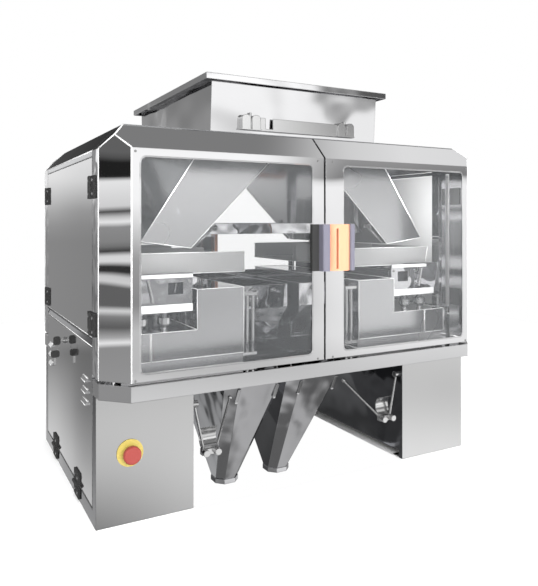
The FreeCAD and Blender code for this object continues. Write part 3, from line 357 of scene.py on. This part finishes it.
class WEIGHER_OT_finishes(bpy.types.Operator):
    """Make the finishes and give each CAD node its own"""
    bl_idname = "weigher.finishes"
    bl_label = "Finishes"

    def execute(self, context):
        self.make(context.scene.weigher_finishes)
        self.assign()
        self.two_tone()
        return {"FINISHED"}

    def make(self, finishes):
        # Fine-ground sheet of the legs and covers: a soft sheen that fades over the panel.
        stainless_steel("ground_stainless_upright", "#C9C9C9", 0.17, "Z", 0.003 * MM, 0.2 * MM)
        stainless_steel("ground_stainless_across", "#C6C6C7", 0.26, "X", 0.002 * MM, 0.3 * MM)
        # The left side, polished after grinding, so that it mirrors what is near it.
        stainless_steel("satin_stainless", "#C8C8C9", 0.06, "Z", 0.001 * MM, 0.2 * MM, 0.02)
        # Roof slopes: the same sheet with a darker, tighter sheen.
        stainless_steel("roof_stainless", "#B9BABC", 0.16, "X", 0.001 * MM, 0.5 * MM)
        # Mirror-polished sheet: clear, slightly wavy reflections.
        stainless_steel("mirror_stainless", "#DCDCDD", 0.02, "Z", 0.0, 0.9 * MM, 0.01)
        # Thin polished sheet of buckets, gates, cross beams and vibrator frames: its dents bend each
        # reflection.
        stainless_steel("dented_stainless", "#D4D4D6", 0.04, "Z", 0.0, 4.0 * MM, 0.03, 60 * MM)
        # Bright-rolled sheet of the inner parts, between mirror and satin.
        stainless_steel("bright_stainless", "#D2D2D3", 0.12, "X", 0.001 * MM, 0.8 * MM, 0.03)
        # Painted shade: the same sheet with a darker base colour, for faces turned to the dark room
        # under the machine.
        stainless_steel("shaded_stainless", "#88898C", 0.05, "Z", 0.0, 3.0 * MM, 0.02, 110 * MM)
        # Polished strips with a painted dark reflection: a darker base colour stands for the dark
        # roof of the workshop that they mirror.
        stainless_steel("dark_reflection_stainless", "#55565A", 0.05, "Y", 0.0, 0.9 * MM, 0.02)
        # Turned and cast fittings with a worn polish.
        stainless_steel("turned_stainless", "#D8D8D8", 0.18, "Z", 0.0, 0.0, 0.05)
        pale_metal("blasted_aluminium", "#F2F2F2", 0.5)
        # Sheet of the hopper: bright-rolled, with the broad dents of hand-bent walls.
        stainless_steel("rippled_stainless", "#DADADB", 0.08, "X", 0.001 * MM, 11.0 * MM, 0.03,
                        200 * MM)
        # Sheet of the funnels: polished along their length by hand, with soft streaks.
        stainless_steel("streaked_stainless", "#CDCDCF", 0.08, "Z", 0.012 * MM, 3.0 * MM, 0.05,
                        75 * MM)
        # Insides of panels: sheet as it left the mill, dull and even.
        pale_metal("mill_stainless", "#E2E2E2", 0.35)
        # Pans: the same dull sheet with painted shade, a darker grey for their place inside the
        # machine.
        pale_metal("shaded_pan_stainless", "#8C8C8C", 0.30)
        # Painted highlights: pale bars along bends, folds and louvres, standing in for the light
        # that their rounded edges catch.
        pale_metal("painted_highlight_stainless", "#F4F4F4", 0.28)
        clear_acrylic("cast_acrylic", "#B8BCC0", finishes.acrylic_alpha)
        # Glass-filled nylon: black, matt, its open grain takes most of the gloss away.
        moulded_plastic("black_nylon", linear("#0A0A0B"), 0.40, ior=1.3)
        # ABS grips: an even satin sheen.
        moulded_plastic("grey_abs", finishes.grey_grip, 0.35)
        moulded_plastic("orange_abs", finishes.orange_grip, 0.30)
        moulded_plastic("yellow_abs", finishes.stop_plate, 0.40)
        moulded_plastic("red_abs", finishes.stop_button, 0.25)
        # Cast iron under dark enamel: the magnets and their feet.
        moulded_plastic("dark_enamel", linear("#2C2D30"), 0.30)
        # Natural rubber buffers.
        moulded_plastic("black_rubber", linear("#1B1B1B"), 0.6)

    def assign(self):
        finish_of_slot = {
            "satin_steel": "ground_stainless_upright", "polished_steel": "bright_stainless",
            "roof_steel": "roof_stainless", "clear_acrylic": "cast_acrylic",
            "black_nylon": "black_nylon", "grey_handle": "grey_abs", "orange_handle": "orange_abs",
            "dark_castings": "dark_enamel", "yellow_plate": "yellow_abs", "red_button": "red_abs",
        }
        own_finish = {
            "front_belt": "bright_stainless", "rear_belt": "bright_stainless",
            "left_ledge": "mirror_stainless", "right_ledge": "mirror_stainless",
            "left_funnel": "streaked_stainless", "right_funnel": "streaked_stainless",
            "hopper": "rippled_stainless", "hopper_front_bar": "turned_stainless",
            "left_chute": "bright_stainless", "right_chute": "bright_stainless",
            "left_drive_housing": "ground_stainless_across",
            "right_drive_housing": "ground_stainless_across",
            "corner_posts": "mirror_stainless", "deck": "mirror_stainless",
            "weigh_buckets": "dented_stainless", "gate_links": "turned_stainless",
            "side_door_lock": "turned_stainless", "guide_rods": "turned_stainless",
            "cross_beams": "dented_stainless", "vibrator_frames": "dented_stainless",
            "feeder_pans": "shaded_pan_stainless", "vibrator_buffers": "turned_stainless",
            "side_door_panel": "satin_stainless", "left_side_panel": "satin_stainless",
        }
        for part in frame["record"]["subparts"]:
            node = part["node"]
            finish = own_finish.get(node, finish_of_slot[part["material_slot"]])
            if node.endswith("door_frame"):
                finish = "mirror_stainless"
            if node.endswith("_gate"):
                finish = "dented_stainless"
            mesh = frame["nodes"][node].data
            mesh.materials.clear()
            mesh.materials.append(bpy.data.materials[finish])

    def two_tone(self):
        """Pieces whose faces have two finishes."""
        for node in ("left_leg", "right_leg"):
            # Painted shade on the legs' inner walls, and a painted dark reflection on their outer
            # side strips.
            paint_faces(node, "shaded_stainless", lambda c, n: abs(c.x) < 316 * MM)
            paint_faces(node, "dark_reflection_stainless", lambda c, n: abs(c.x) > HALF_X - 0.5 * MM)
        for node in ("left_side_panel", "right_side_panel"):
            paint_faces(node, "mill_stainless", lambda c, n: abs(c.x) < HALF_X - 1.5 * MM)
        for x, y in CORNERS:
            node = door_name(x, y) + "_frame"
            paint_faces(node, "dented_stainless", lambda c, n: abs(c.x) > HALF_X - 0.5 * MM)
            # Painted dark reflection on the doors' side slopes.
            paint_faces(node, "dark_reflection_stainless", self.is_side_slope)
        # Painted dark reflection on the roof's side slopes.
        paint_faces("roof", "dark_reflection_stainless", self.is_side_slope)
        for node in ("left_funnel", "right_funnel"):
            # Painted shade on the funnels' left facets.
            paint_faces(node, "shaded_stainless", lambda c, n: n.x < -0.75)
        for node in ("left_ledge", "right_ledge"):
            # Painted dark reflection on the ledges' outer ends.
            paint_faces(node, "dark_reflection_stainless", lambda c, n: abs(c.x) > HALF_X - 7 * MM)
        for node in ("left_chute", "right_chute"):
            paint_faces(node, "ground_stainless_across", lambda c, n: abs(c.y) > 267 * MM)
        for node in ("left_drive_housing", "right_drive_housing"):
            paint_faces(node, "mirror_stainless",
                        lambda c, n: c.z > 409 * MM and abs(c.y) < 299 * MM)
        paint_faces("side_door_lock", "black_nylon", self.is_key_head)
        for end in ("front", "rear"):
            paint_faces(end + "_left_door_handle", "black_nylon",
                        lambda c, n: c.x < -23.4 * MM and abs(c.y) < 404 * MM)
            paint_faces(end + "_right_door_handle", "grey_abs", lambda c, n: c.x > 56.4 * MM)

    def is_key_head(self, centre, normal):
        """A key's head: 18 mm along its blade, 22 mm across it."""
        used = centre - USED_KEY
        spare = centre - SPARE_KEY
        return (abs(used.x) < 9.3 * MM and abs(used.z) < 11.3 * MM
                or abs(spare.z) < 9.3 * MM and abs(spare.x) < 11.3 * MM)

    def is_side_slope(self, centre, normal):
        """The hipped roof's slope over the left or right side."""
        return centre.z > EAVE + 1 * MM and abs(normal.x) > 0.6 and normal.z > 0.6


class WEIGHER_OT_hinge_screws(bpy.types.Operator):
    """Two pan-head screws on each hinge leaf"""
    bl_idname = "weigher.hinge_screws"
    bl_label = "Hinge Screws"

    def execute(self, context):
        radius = context.scene.weigher_sizes.screw_radius
        leaf_x = HALF_X + 4 * MM
        middle = 17.5 * MM
        rise = 15 * MM
        fixed = bmesh.new()
        for x, y in CORNERS:
            moving = bmesh.new()
            for height in HINGE_HEIGHTS:
                for z in (height - rise, height + rise):
                    add_screw(moving, (x * leaf_x, y * (SIDE_SEAM_Y + middle), z), (x, 0, 0),
                              radius)
                    add_screw(fixed, (x * leaf_x, y * (SIDE_SEAM_Y - middle), z), (x, 0, 0),
                              radius)
            new_piece(door_name(x, y) + "_hinge_screws", moving, door_name(x, y),
                      "bright_stainless")
        lower = bmesh.new()
        for y in (-135 * MM, 147 * MM):
            for along in (y - rise, y + rise):
                add_screw(fixed, (-leaf_x, along, 35.5 * MM - middle), (-1, 0, 0), radius)
                add_screw(lower, (-leaf_x, along, 35.5 * MM + middle), (-1, 0, 0), radius)
        new_piece("side_door_hinge_screws", lower, "side_door",
                  "bright_stainless")
        new_piece("fixed_hinge_screws", fixed, "machine", "bright_stainless")
        return {"FINISHED"}


def rounded_outline(x0, x1, z0, z1, radius, steps=6):
    """Points round a rectangle in X and Z with quarter circles at its corners."""
    points = []
    for cx, cz, start in ((x1 - radius, z1 - radius, 0), (x0 + radius, z1 - radius, 90),
                          (x0 + radius, z0 + radius, 180), (x1 - radius, z0 + radius, 270)):
        for i in range(steps + 1):
            angle = math.radians(start + 90 * i / steps)
            points.append((cx + radius * math.cos(angle), cz + radius * math.sin(angle)))
    return points


def add_frame(bm, outline, inner, y, thickness, way):
    """A flat frame between two outlines with as many points, thickened along Y."""
    outer_ring = [bm.verts.new((px, y, pz)) for px, pz in outline]
    inner_ring = [bm.verts.new((px, y, pz)) for px, pz in inner]
    count = len(outer_ring)
    faces = []
    for i in range(count):
        j = (i + 1) % count
        faces.append(bm.faces.new((outer_ring[i], outer_ring[j], inner_ring[j], inner_ring[i])))
    made = bmesh.ops.extrude_face_region(bm, geom=faces)
    moved = [v for v in made["geom"] if isinstance(v, bmesh.types.BMVert)]
    bmesh.ops.translate(bm, vec=(0, way * thickness, 0), verts=moved)


def add_bar(bm, start, end, radius, sides=12):
    """A round bar between two points."""
    axis = Vector(end) - Vector(start)
    return add_round(bm, start, axis, radius, axis.length, sides)


def add_nut(bm, seat, axis, radius):
    """A hexagon nut with the end of its stud standing out of it."""
    add_round(bm, seat, axis, radius, radius * 0.8, 6)
    add_round(bm, seat, axis, radius * 0.55, radius * 1.25, 12)


class WEIGHER_OT_window_edges(bpy.types.Operator):
    """A bright polished bead round each window's cut-out"""
    bl_idname = "weigher.window_edges"
    bl_label = "Window Edges"

    def execute(self, context):
        width = context.scene.weigher_sizes.bead_width
        for x, y in CORNERS:
            stile = (34 if x < 0 else 55) * MM
            spans = sorted((x * stile, x * (HALF_X - 74 * MM)))
            outer = rounded_outline(*spans, 342 * MM, 803 * MM, 14 * MM)
            inner = rounded_outline(spans[0] + width, spans[1] - width, 342 * MM + width,
                                    803 * MM - width, 14 * MM - width)
            bm = bmesh.new()
            add_frame(bm, outer, inner, y * HALF_Y, 1.6 * MM, -y)
            new_piece(door_name(x, y) + "_window_edge", bm, door_name(x, y),
                      "mirror_stainless")
        return {"FINISHED"}


class WEIGHER_OT_door_screws(bpy.types.Operator):
    """Button-head screws at the corners of each door, and black backing plates behind its hinges"""
    bl_idname = "weigher.door_screws"
    bl_label = "Door Screws"

    def execute(self, context):
        radius = context.scene.weigher_sizes.screw_radius * 0.7
        for x, y in CORNERS:
            near = (20 if x < 0 else 24) * MM
            screws = bmesh.new()
            for px in (near, 476 * MM):
                for z in (331 * MM, 812 * MM):
                    add_screw(screws, (x * px, y * HALF_Y, z), (0, y, 0), radius)
            new_piece(door_name(x, y) + "_screws", screws, door_name(x, y),
                      "turned_stainless")
            backing = bmesh.new()
            for z in HINGE_HEIGHTS:
                add_block(backing, (x * (HALF_X - 2 * MM), y * 288.5 * MM, z - 25 * MM),
                          (x * (HALF_X - 5 * MM), y * 314 * MM, z + 25 * MM))
            new_piece(door_name(x, y) + "_hinge_backing", backing, door_name(x, y),
                      "black_nylon", bevel=0.8 * MM)
        return {"FINISHED"}


class WEIGHER_OT_bend_lines(bpy.types.Operator):
    """Painted highlights: pale bars along the bends of each door round its cut corner, and along the
    bends over the side panels and the louvres
    """
    bl_idname = "weigher.bend_lines"
    bl_label = "Bend Lines"

    def execute(self, context):
        radius = context.scene.weigher_sizes.bend_radius
        sunk = radius / 2
        rise = CORNER_CUT * ROOF_RISE / (SIDE_RUN + FRONT_RUN)
        peak = (HALF_X - rise * SIDE_RUN / ROOF_RISE, HALF_Y - rise * FRONT_RUN / ROOF_RISE,
                EAVE + rise)
        side = (HALF_X, HALF_Y - CORNER_CUT)
        front = (HALF_X - CORNER_CUT, HALF_Y)
        path = [(*side, DOOR_BOTTOM), (*side, EAVE), peak, (*front, EAVE), (*front, DOOR_BOTTOM)]
        hip = (HALF_X - SIDE_RUN, HALF_Y - FRONT_RUN, EAVE + ROOF_RISE)
        eaves = bmesh.new()
        for x, y in CORNERS:
            bm = bmesh.new()
            for start, end in list(zip(path, path[1:])) + [(peak, hip)]:
                ends = [(x * (px - sunk), y * (py - sunk), pz) for px, py, pz in (start, end)]
                add_bar(bm, *ends, radius)
            new_piece(door_name(x, y) + "_bends", bm, door_name(x, y),
                      "painted_highlight_stainless", smooth=True)
        # Painted highlights along the eaves and two lower bends of each side.
        for x in SIDES:
            edge = x * (HALF_X - sunk)
            reach = SIDE_SEAM_Y - 4 * MM
            add_bar(eaves, (edge, -reach, EAVE), (edge, reach, EAVE), radius)
            for z in (410 * MM, 389 * MM):
                add_bar(eaves, (edge, -reach, z), (edge, reach, z), radius * 0.7)
        new_piece("side_bends", eaves, "machine", "painted_highlight_stainless",
                  smooth=True)
        # Painted highlights along the top ridge and the lower lip of each louvre.
        louvres = bmesh.new()
        for y in SIDES:
            for top in LOUVRE_TOPS:
                for out, drop in ((0.5 * MM, 0.5 * MM), (5.2 * MM, 8.6 * MM)):
                    add_bar(louvres, (-HALF_X - out, y * LOUVRE_Y - 21.5 * MM, top - drop),
                            (-HALF_X - out, y * LOUVRE_Y + 21.5 * MM, top - drop), 1.3 * MM)
        new_piece("louvre_bends", louvres, "side_door", "painted_highlight_stainless",
                  smooth=True)
        return {"FINISHED"}


class WEIGHER_OT_sheet_edges(bpy.types.Operator):
    """Painted highlights: pale bars along the long folds of the chutes, the pans and the drive
    housings
    """
    bl_idname = "weigher.sheet_edges"
    bl_label = "Sheet Edges"

    def execute(self, context):
        radius = context.scene.weigher_sizes.fold_radius
        for node in ("left_chute", "right_chute", "feeder_pans", "left_drive_housing",
                     "right_drive_housing"):
            sheet = bmesh.new()
            sheet.from_mesh(frame["nodes"][node].data)
            bmesh.ops.remove_doubles(sheet, verts=sheet.verts, dist=0.01 * MM)
            bm = bmesh.new()
            for edge in sheet.edges:
                start, end = (vert.co for vert in edge.verts)
                outside = min(abs(start.y), abs(end.y)) > 225 * MM
                folded = edge.is_manifold and edge.calc_face_angle(0) > math.radians(25)
                if outside and folded and edge.calc_length() > 30 * MM:
                    add_bar(bm, start, end, radius, 6)
            sheet.free()
            new_piece(node + "_fold_highlights", bm, "machine", "painted_highlight_stainless",
                      smooth=True)
        return {"FINISHED"}


class WEIGHER_OT_side_screws(bpy.types.Operator):
    """Small bright screws round the cover of the right leg"""
    bl_idname = "weigher.side_screws"
    bl_label = "Side Screws"

    def execute(self, context):
        radius = context.scene.weigher_sizes.screw_radius
        cover = bmesh.new()
        for y in SIDES:
            for z in (60 * MM, 212 * MM, 364 * MM):
                add_screw(cover, (HALF_X, y * 262 * MM, z), (1, 0, 0), radius)
        new_piece("right_cover_screws", cover, "machine", "turned_stainless")
        return {"FINISHED"}


class WEIGHER_OT_bucket_fittings(bpy.types.Operator):
    """The long ring handle and the bolts on each weigh bucket"""
    bl_idname = "weigher.bucket_fittings"
    bl_label = "Bucket Fittings"

    def execute(self, context):
        radius = context.scene.weigher_sizes.nut_radius
        wire = 3 * MM
        face = 245 * MM
        handles = bmesh.new()
        for x, y in CORNERS:
            middle = face + wire
            low, high, half = 448 * MM, 482 * MM, 10 * MM
            for side in SIDES:
                px = x * 120 * MM + side * half
                add_bar(handles, (px, y * middle, low), (px, y * middle, high), wire)
            steps = 8
            arc = [Vector((x * 120 * MM + half * math.cos(math.pi * i / steps), y * middle,
                           high + half * math.sin(math.pi * i / steps))) for i in range(steps + 1)]
            for start, end in zip(arc, arc[1:]):
                add_bar(handles, start, end, wire)
            for px in (60 * MM, 150 * MM):
                add_nut(handles, (x * px, y * face, 486 * MM), (0, y, 0), radius)
        new_piece("bucket_handles", handles, "machine", "turned_stainless",
                  smooth=True)
        return {"FINISHED"}


class WEIGHER_OT_slide_braces(bpy.types.Operator):
    """A round brace under the front and rear edge of each slide, with an eye bolt at its top"""
    bl_idname = "weigher.slide_braces"
    bl_label = "Slide Braces"

    def execute(self, context):
        radius = context.scene.weigher_sizes.nut_radius
        bm = bmesh.new()
        for x, y in CORNERS:
            low = Vector((x * 288 * MM, y * 258 * MM, 604 * MM))
            high = Vector((x * 238 * MM, y * 258 * MM, 650 * MM))
            add_bar(bm, low, high, 3.5 * MM)
            add_bar(bm, high + Vector((0, -y * 8 * MM, 0)), high + Vector((0, y * 8 * MM, 0)),
                    8 * MM, 20)
            add_nut(bm, high + Vector((0, y * 8 * MM, 0)), (0, y, 0), radius * 0.8)
        new_piece("slide_braces", bm, "machine", "turned_stainless", smooth=True)
        return {"FINISHED"}


class WEIGHER_OT_vibrator_fittings(bpy.types.Operator):
    """Rail, spring clamps, screws and locating pins of the four vibrators"""
    bl_idname = "weigher.vibrator_fittings"
    bl_label = "Vibrator Fittings"

    def execute(self, context):
        radius = context.scene.weigher_sizes.screw_radius
        nut = context.scene.weigher_sizes.nut_radius
        rails = bmesh.new()
        bright = bmesh.new()
        face = 283 * MM
        for x, y in CORNERS:
            add_block(rails, (x * 304 * MM, y * face, 533 * MM),
                      (x * 430 * MM, y * (face + 5 * MM), 541 * MM))
            add_block(rails, (x * 303 * MM, y * face, 453 * MM),
                      (x * 462 * MM, y * (face + 2 * MM), 471 * MM))
            for px in (312 * MM, 388 * MM):
                for z in (486 * MM, 524 * MM):
                    add_screw(bright, (x * px, y * face, z), (0, y, 0), radius)
            for px in (318 * MM, 396 * MM, 448 * MM):
                add_nut(bright, (x * px, y * (face - 14 * MM), 472 * MM), (0, 0, 1), nut)
            clamp_low = Vector((x * 402 * MM, y * (face + 3 * MM), 478 * MM))
            clamp_high = Vector((x * 414 * MM, y * (face + 3 * MM), 530 * MM))
            add_bar(bright, clamp_low, clamp_high, 3.5 * MM)
            spin_profile(bright, (x * 472 * MM, y * 290 * MM, 410 * MM), (0, 0, 1),
                         [(0, 0), (7 * MM, 0), (7 * MM, 6 * MM), (4 * MM, 8 * MM),
                          (4 * MM, 30 * MM), (6 * MM, 32 * MM), (6 * MM, 40 * MM), (0, 40 * MM)])
        new_piece("vibrator_rails", rails, "machine", "blasted_aluminium",
                  bevel=0.8 * MM)
        new_piece("vibrator_screws", bright, "machine", "turned_stainless")
        return {"FINISHED"}


class WEIGHER_OT_studio(bpy.types.Operator):
    """A pale platform with a cut-out for the funnels, soft light and the camera"""
    bl_idname = "weigher.studio"
    bl_label = "Studio"

    def execute(self, context):
        sizes = context.scene.weigher_sizes
        self.platform(sizes, context.scene.weigher_finishes.floor_colour)
        self.room(context.scene)
        self.lamps(context.scene)
        self.camera(context.scene)
        return {"FINISHED"}

    def platform(self, sizes, colour):
        bm = bmesh.new()
        reach = sizes.floor_radius
        bmesh.ops.create_grid(bm, x_segments=1, y_segments=1, size=reach)
        for normal, offset in (((1, 0, 0), sizes.platform_gap_x), ((0, 1, 0), sizes.platform_gap_y)):
            for side in SIDES:
                place = Vector(normal) * side * offset
                bmesh.ops.bisect_plane(bm, geom=bm.verts[:] + bm.edges[:] + bm.faces[:],
                                       plane_co=place, plane_no=normal)
        middle = [f for f in bm.faces if f.calc_center_median().length < 0.01]
        bmesh.ops.delete(bm, geom=middle, context="FACES")
        mesh = bpy.data.meshes.new("platform")
        bm.to_mesh(mesh)
        bm.free()
        floor = bpy.data.objects.new("platform", mesh)
        bpy.context.scene.collection.objects.link(floor)
        material, tree, output = blank_material("pale_floor_paint")
        place = add_node(tree, "ShaderNodeTexCoord").outputs["Object"]
        speck = add_node(tree, "ShaderNodeTexNoise", {"Scale": 1 / (40 * MM)}, {"Vector": place})
        rough = add_node(tree, "ShaderNodeMapRange", {"To Min": 0.6, "To Max": 0.7},
                         {"Value": speck.outputs["Fac"]})
        shader = add_node(tree, "ShaderNodeBsdfPrincipled", {"Base Color": colour},
                          {"Roughness": rough.outputs["Result"]})
        tree.links.new(shader.outputs["BSDF"], output.inputs["Surface"])
        mesh.materials.append(material)
        floor.visible_glossy = False

    def room(self, scene):
        """A plain room as the mirrors see it, told by height alone for each side of it."""
        world = bpy.data.worlds.new("studio")
        world.use_nodes = True
        tree = world.node_tree
        tree.nodes.clear()
        way = add_node(tree, "ShaderNodeTexCoord").outputs["Generated"]
        axes = add_node(tree, "ShaderNodeSeparateXYZ", links={"Vector": way})
        height = axes.outputs["Z"]
        front = self.blend(tree, axes.outputs["X"], 0.20, 0.38,
                           self.bands(tree, height, FRONT_EDGE_BANDS),
                           self.bands(tree, height, FRONT_BANDS))
        right = self.bands(tree, height, RIGHT_BANDS)
        left = self.bands(tree, height, LEFT_BANDS)
        left = self.blend(tree, height, 0.069, 0.070, left,
                          self.bands(tree, height, LEFT_CEILING))
        beside = self.blend(tree, axes.outputs["X"], -0.212, -0.158,
                            self.bands(tree, height, REAR_NEAR_BANDS),
                            self.bands(tree, height, REAR_FAR_BANDS))
        beside = self.blend(tree, axes.outputs["X"], -0.27, -0.25,
                            self.bands(tree, height, REAR_SIDE_BANDS), beside)
        rear = self.blend(tree, axes.outputs["X"], -0.12, 0.0, beside,
                          self.bands(tree, height, REAR_BANDS))
        tone = self.blend(tree, axes.outputs["X"], 0.46, 0.60, front, right)
        tone = self.blend(tree, axes.outputs["X"], -0.45, -0.75, tone, left)
        tone = self.blend(tree, axes.outputs["Y"], 0.15, 0.55, tone, rear)
        seen = add_node(tree, "ShaderNodeBackground", {"Color": linear("#FFFFFF")})
        mirrored = add_node(tree, "ShaderNodeBackground", links={"Color": tone})
        rays = add_node(tree, "ShaderNodeLightPath")
        choice = add_node(tree, "ShaderNodeMixShader", links={"Fac": rays.outputs["Is Camera Ray"]})
        tree.links.new(mirrored.outputs["Background"], choice.inputs[1])
        tree.links.new(seen.outputs["Background"], choice.inputs[2])
        output = add_node(tree, "ShaderNodeOutputWorld")
        tree.links.new(choice.outputs["Shader"], output.inputs["Surface"])
        scene.world = world

    def bands(self, tree, height, stops):
        """Grey tones at sines of elevation, blended between one stop and the next."""
        share = add_node(tree, "ShaderNodeMapRange", {"From Min": -1.0}, {"Value": height})
        ramp = add_node(tree, "ShaderNodeValToRGB", links={"Fac": share.outputs["Result"]})
        elements = ramp.color_ramp.elements
        while len(elements) < len(stops):
            elements.new(1.0)
        for element, (sine, tone) in zip(elements, stops):
            element.position = (sine + 1) / 2
            element.color = (tone, tone, tone, 1.0)
        return ramp.outputs["Color"]

    def blend(self, tree, axis, start, end, first, second):
        """The first tone where an axis is before start, the second where it is past end."""
        share = add_node(tree, "ShaderNodeMapRange", {"From Min": start, "From Max": end},
                         {"Value": axis}, interpolation_type="SMOOTHSTEP")
        mix = add_node(tree, "ShaderNodeMix", data_type="RGBA")
        tree.links.new(share.outputs["Result"], mix.inputs[0])
        tree.links.new(first, mix.inputs[6])
        tree.links.new(second, mix.inputs[7])
        return mix.outputs[2]

    def lamps(self, scene):
        """A soft sun for the floor and softboxes; the mirrors see only the room."""
        sun = bpy.data.lights.new("sky", "SUN")
        sun.energy = 3.0
        sun.angle = math.radians(60)
        self.hang(scene, "sky", sun, (-0.6, -0.9, 3.0), (0, 0, 0))
        boxes = [("front_left", (-2.2, -3.0, 2.2), (0, 0, 0.5), 1.6, 50),
                 ("front_right", (2.8, -2.4, 1.6), (0, 0, 0.5), 1.6, 60),
                 ("inside_fill", (-0.4, -2.6, 1.0), (0, 0, 0.6), 1.2, 50),
                 ("inside_left", (-0.34, -0.34, 0.74), (-0.54, -0.05, 0.62), 0.12, 0.9),
                 ("inside_right", (0.34, -0.34, 0.74), (0.54, -0.05, 0.62), 0.12, 1.6)]
        for name, place, aim, size, power in boxes:
            data = bpy.data.lights.new(name, "AREA")
            data.shape = "SQUARE"
            data.size = size
            data.energy = power
            self.hang(scene, name, data, place, aim)

    def hang(self, scene, name, data, place, aim):
        lamp = bpy.data.objects.new(name, data)
        lamp.location = place
        lamp.rotation_euler = (Vector(aim) - Vector(place)).to_track_quat("-Z", "Y").to_euler()
        lamp.visible_glossy = False
        lamp.visible_camera = False
        scene.collection.objects.link(lamp)

    def camera(self, scene):
        """The photograph's viewpoint: 1.85 m away at 0.66 m height, lens level, turned right."""
        data = bpy.data.cameras.new("camera")
        data.sensor_width = 36.0
        data.lens = 614.8 / 586 * 36.0
        data.shift_x = (269 - 254.0) / 586
        data.shift_y = (221.5 - 293) / 586
        data.clip_start = 0.05
        camera = bpy.data.objects.new("camera", data)
        camera.location = (-857.2 * MM, -1642.5 * MM, 664.8 * MM)
        camera.rotation_euler = (math.radians(90), 0, math.radians(-27.88))
        scene.collection.objects.link(camera)
        scene.camera = camera
        scene.view_settings.view_transform = "Standard"


class WEIGHER_PT_panel(bpy.types.Panel):
    bl_idname = "WEIGHER_PT_panel"
    bl_label = "Linear Weigher"
    bl_space_type = "VIEW_3D"
    bl_region_type = "UI"
    bl_category = "Weigher"

    def draw(self, context):
        for group in (context.scene.weigher_sizes, context.scene.weigher_finishes):
            for name in group.__annotations__:
                self.layout.prop(group, name)
        for operator in OPERATORS:
            self.layout.operator(operator.bl_idname)


OPERATORS = (WEIGHER_OT_finishes, WEIGHER_OT_hinge_screws, WEIGHER_OT_window_edges,
             WEIGHER_OT_door_screws, WEIGHER_OT_bend_lines, WEIGHER_OT_sheet_edges,
             WEIGHER_OT_side_screws,
             WEIGHER_OT_bucket_fittings, WEIGHER_OT_slide_braces, WEIGHER_OT_vibrator_fittings,
             WEIGHER_OT_studio)
CLASSES = (WeigherSizes, WeigherFinishes) + OPERATORS + (WEIGHER_PT_panel,)


def register():
    for cls in CLASSES:
        bpy.utils.register_class(cls)
    bpy.types.Scene.weigher_sizes = bpy.props.PointerProperty(type=WeigherSizes)
    bpy.types.Scene.weigher_finishes = bpy.props.PointerProperty(type=WeigherFinishes)


def unregister():
    del bpy.types.Scene.weigher_sizes
    del bpy.types.Scene.weigher_finishes
    for cls in reversed(CLASSES):
        bpy.utils.unregister_class(cls)


def main():
    register()
    bpy.ops.weigher.finishes()
    bpy.ops.weigher.hinge_screws()
    bpy.ops.weigher.window_edges()
    bpy.ops.weigher.door_screws()
    bpy.ops.weigher.bend_lines()
    bpy.ops.weigher.sheet_edges()
    bpy.ops.weigher.side_screws()
    bpy.ops.weigher.bucket_fittings()
    bpy.ops.weigher.slide_braces()
    bpy.ops.weigher.vibrator_fittings()
    bpy.ops.weigher.studio()


if __name__ == "__main__":
    main()
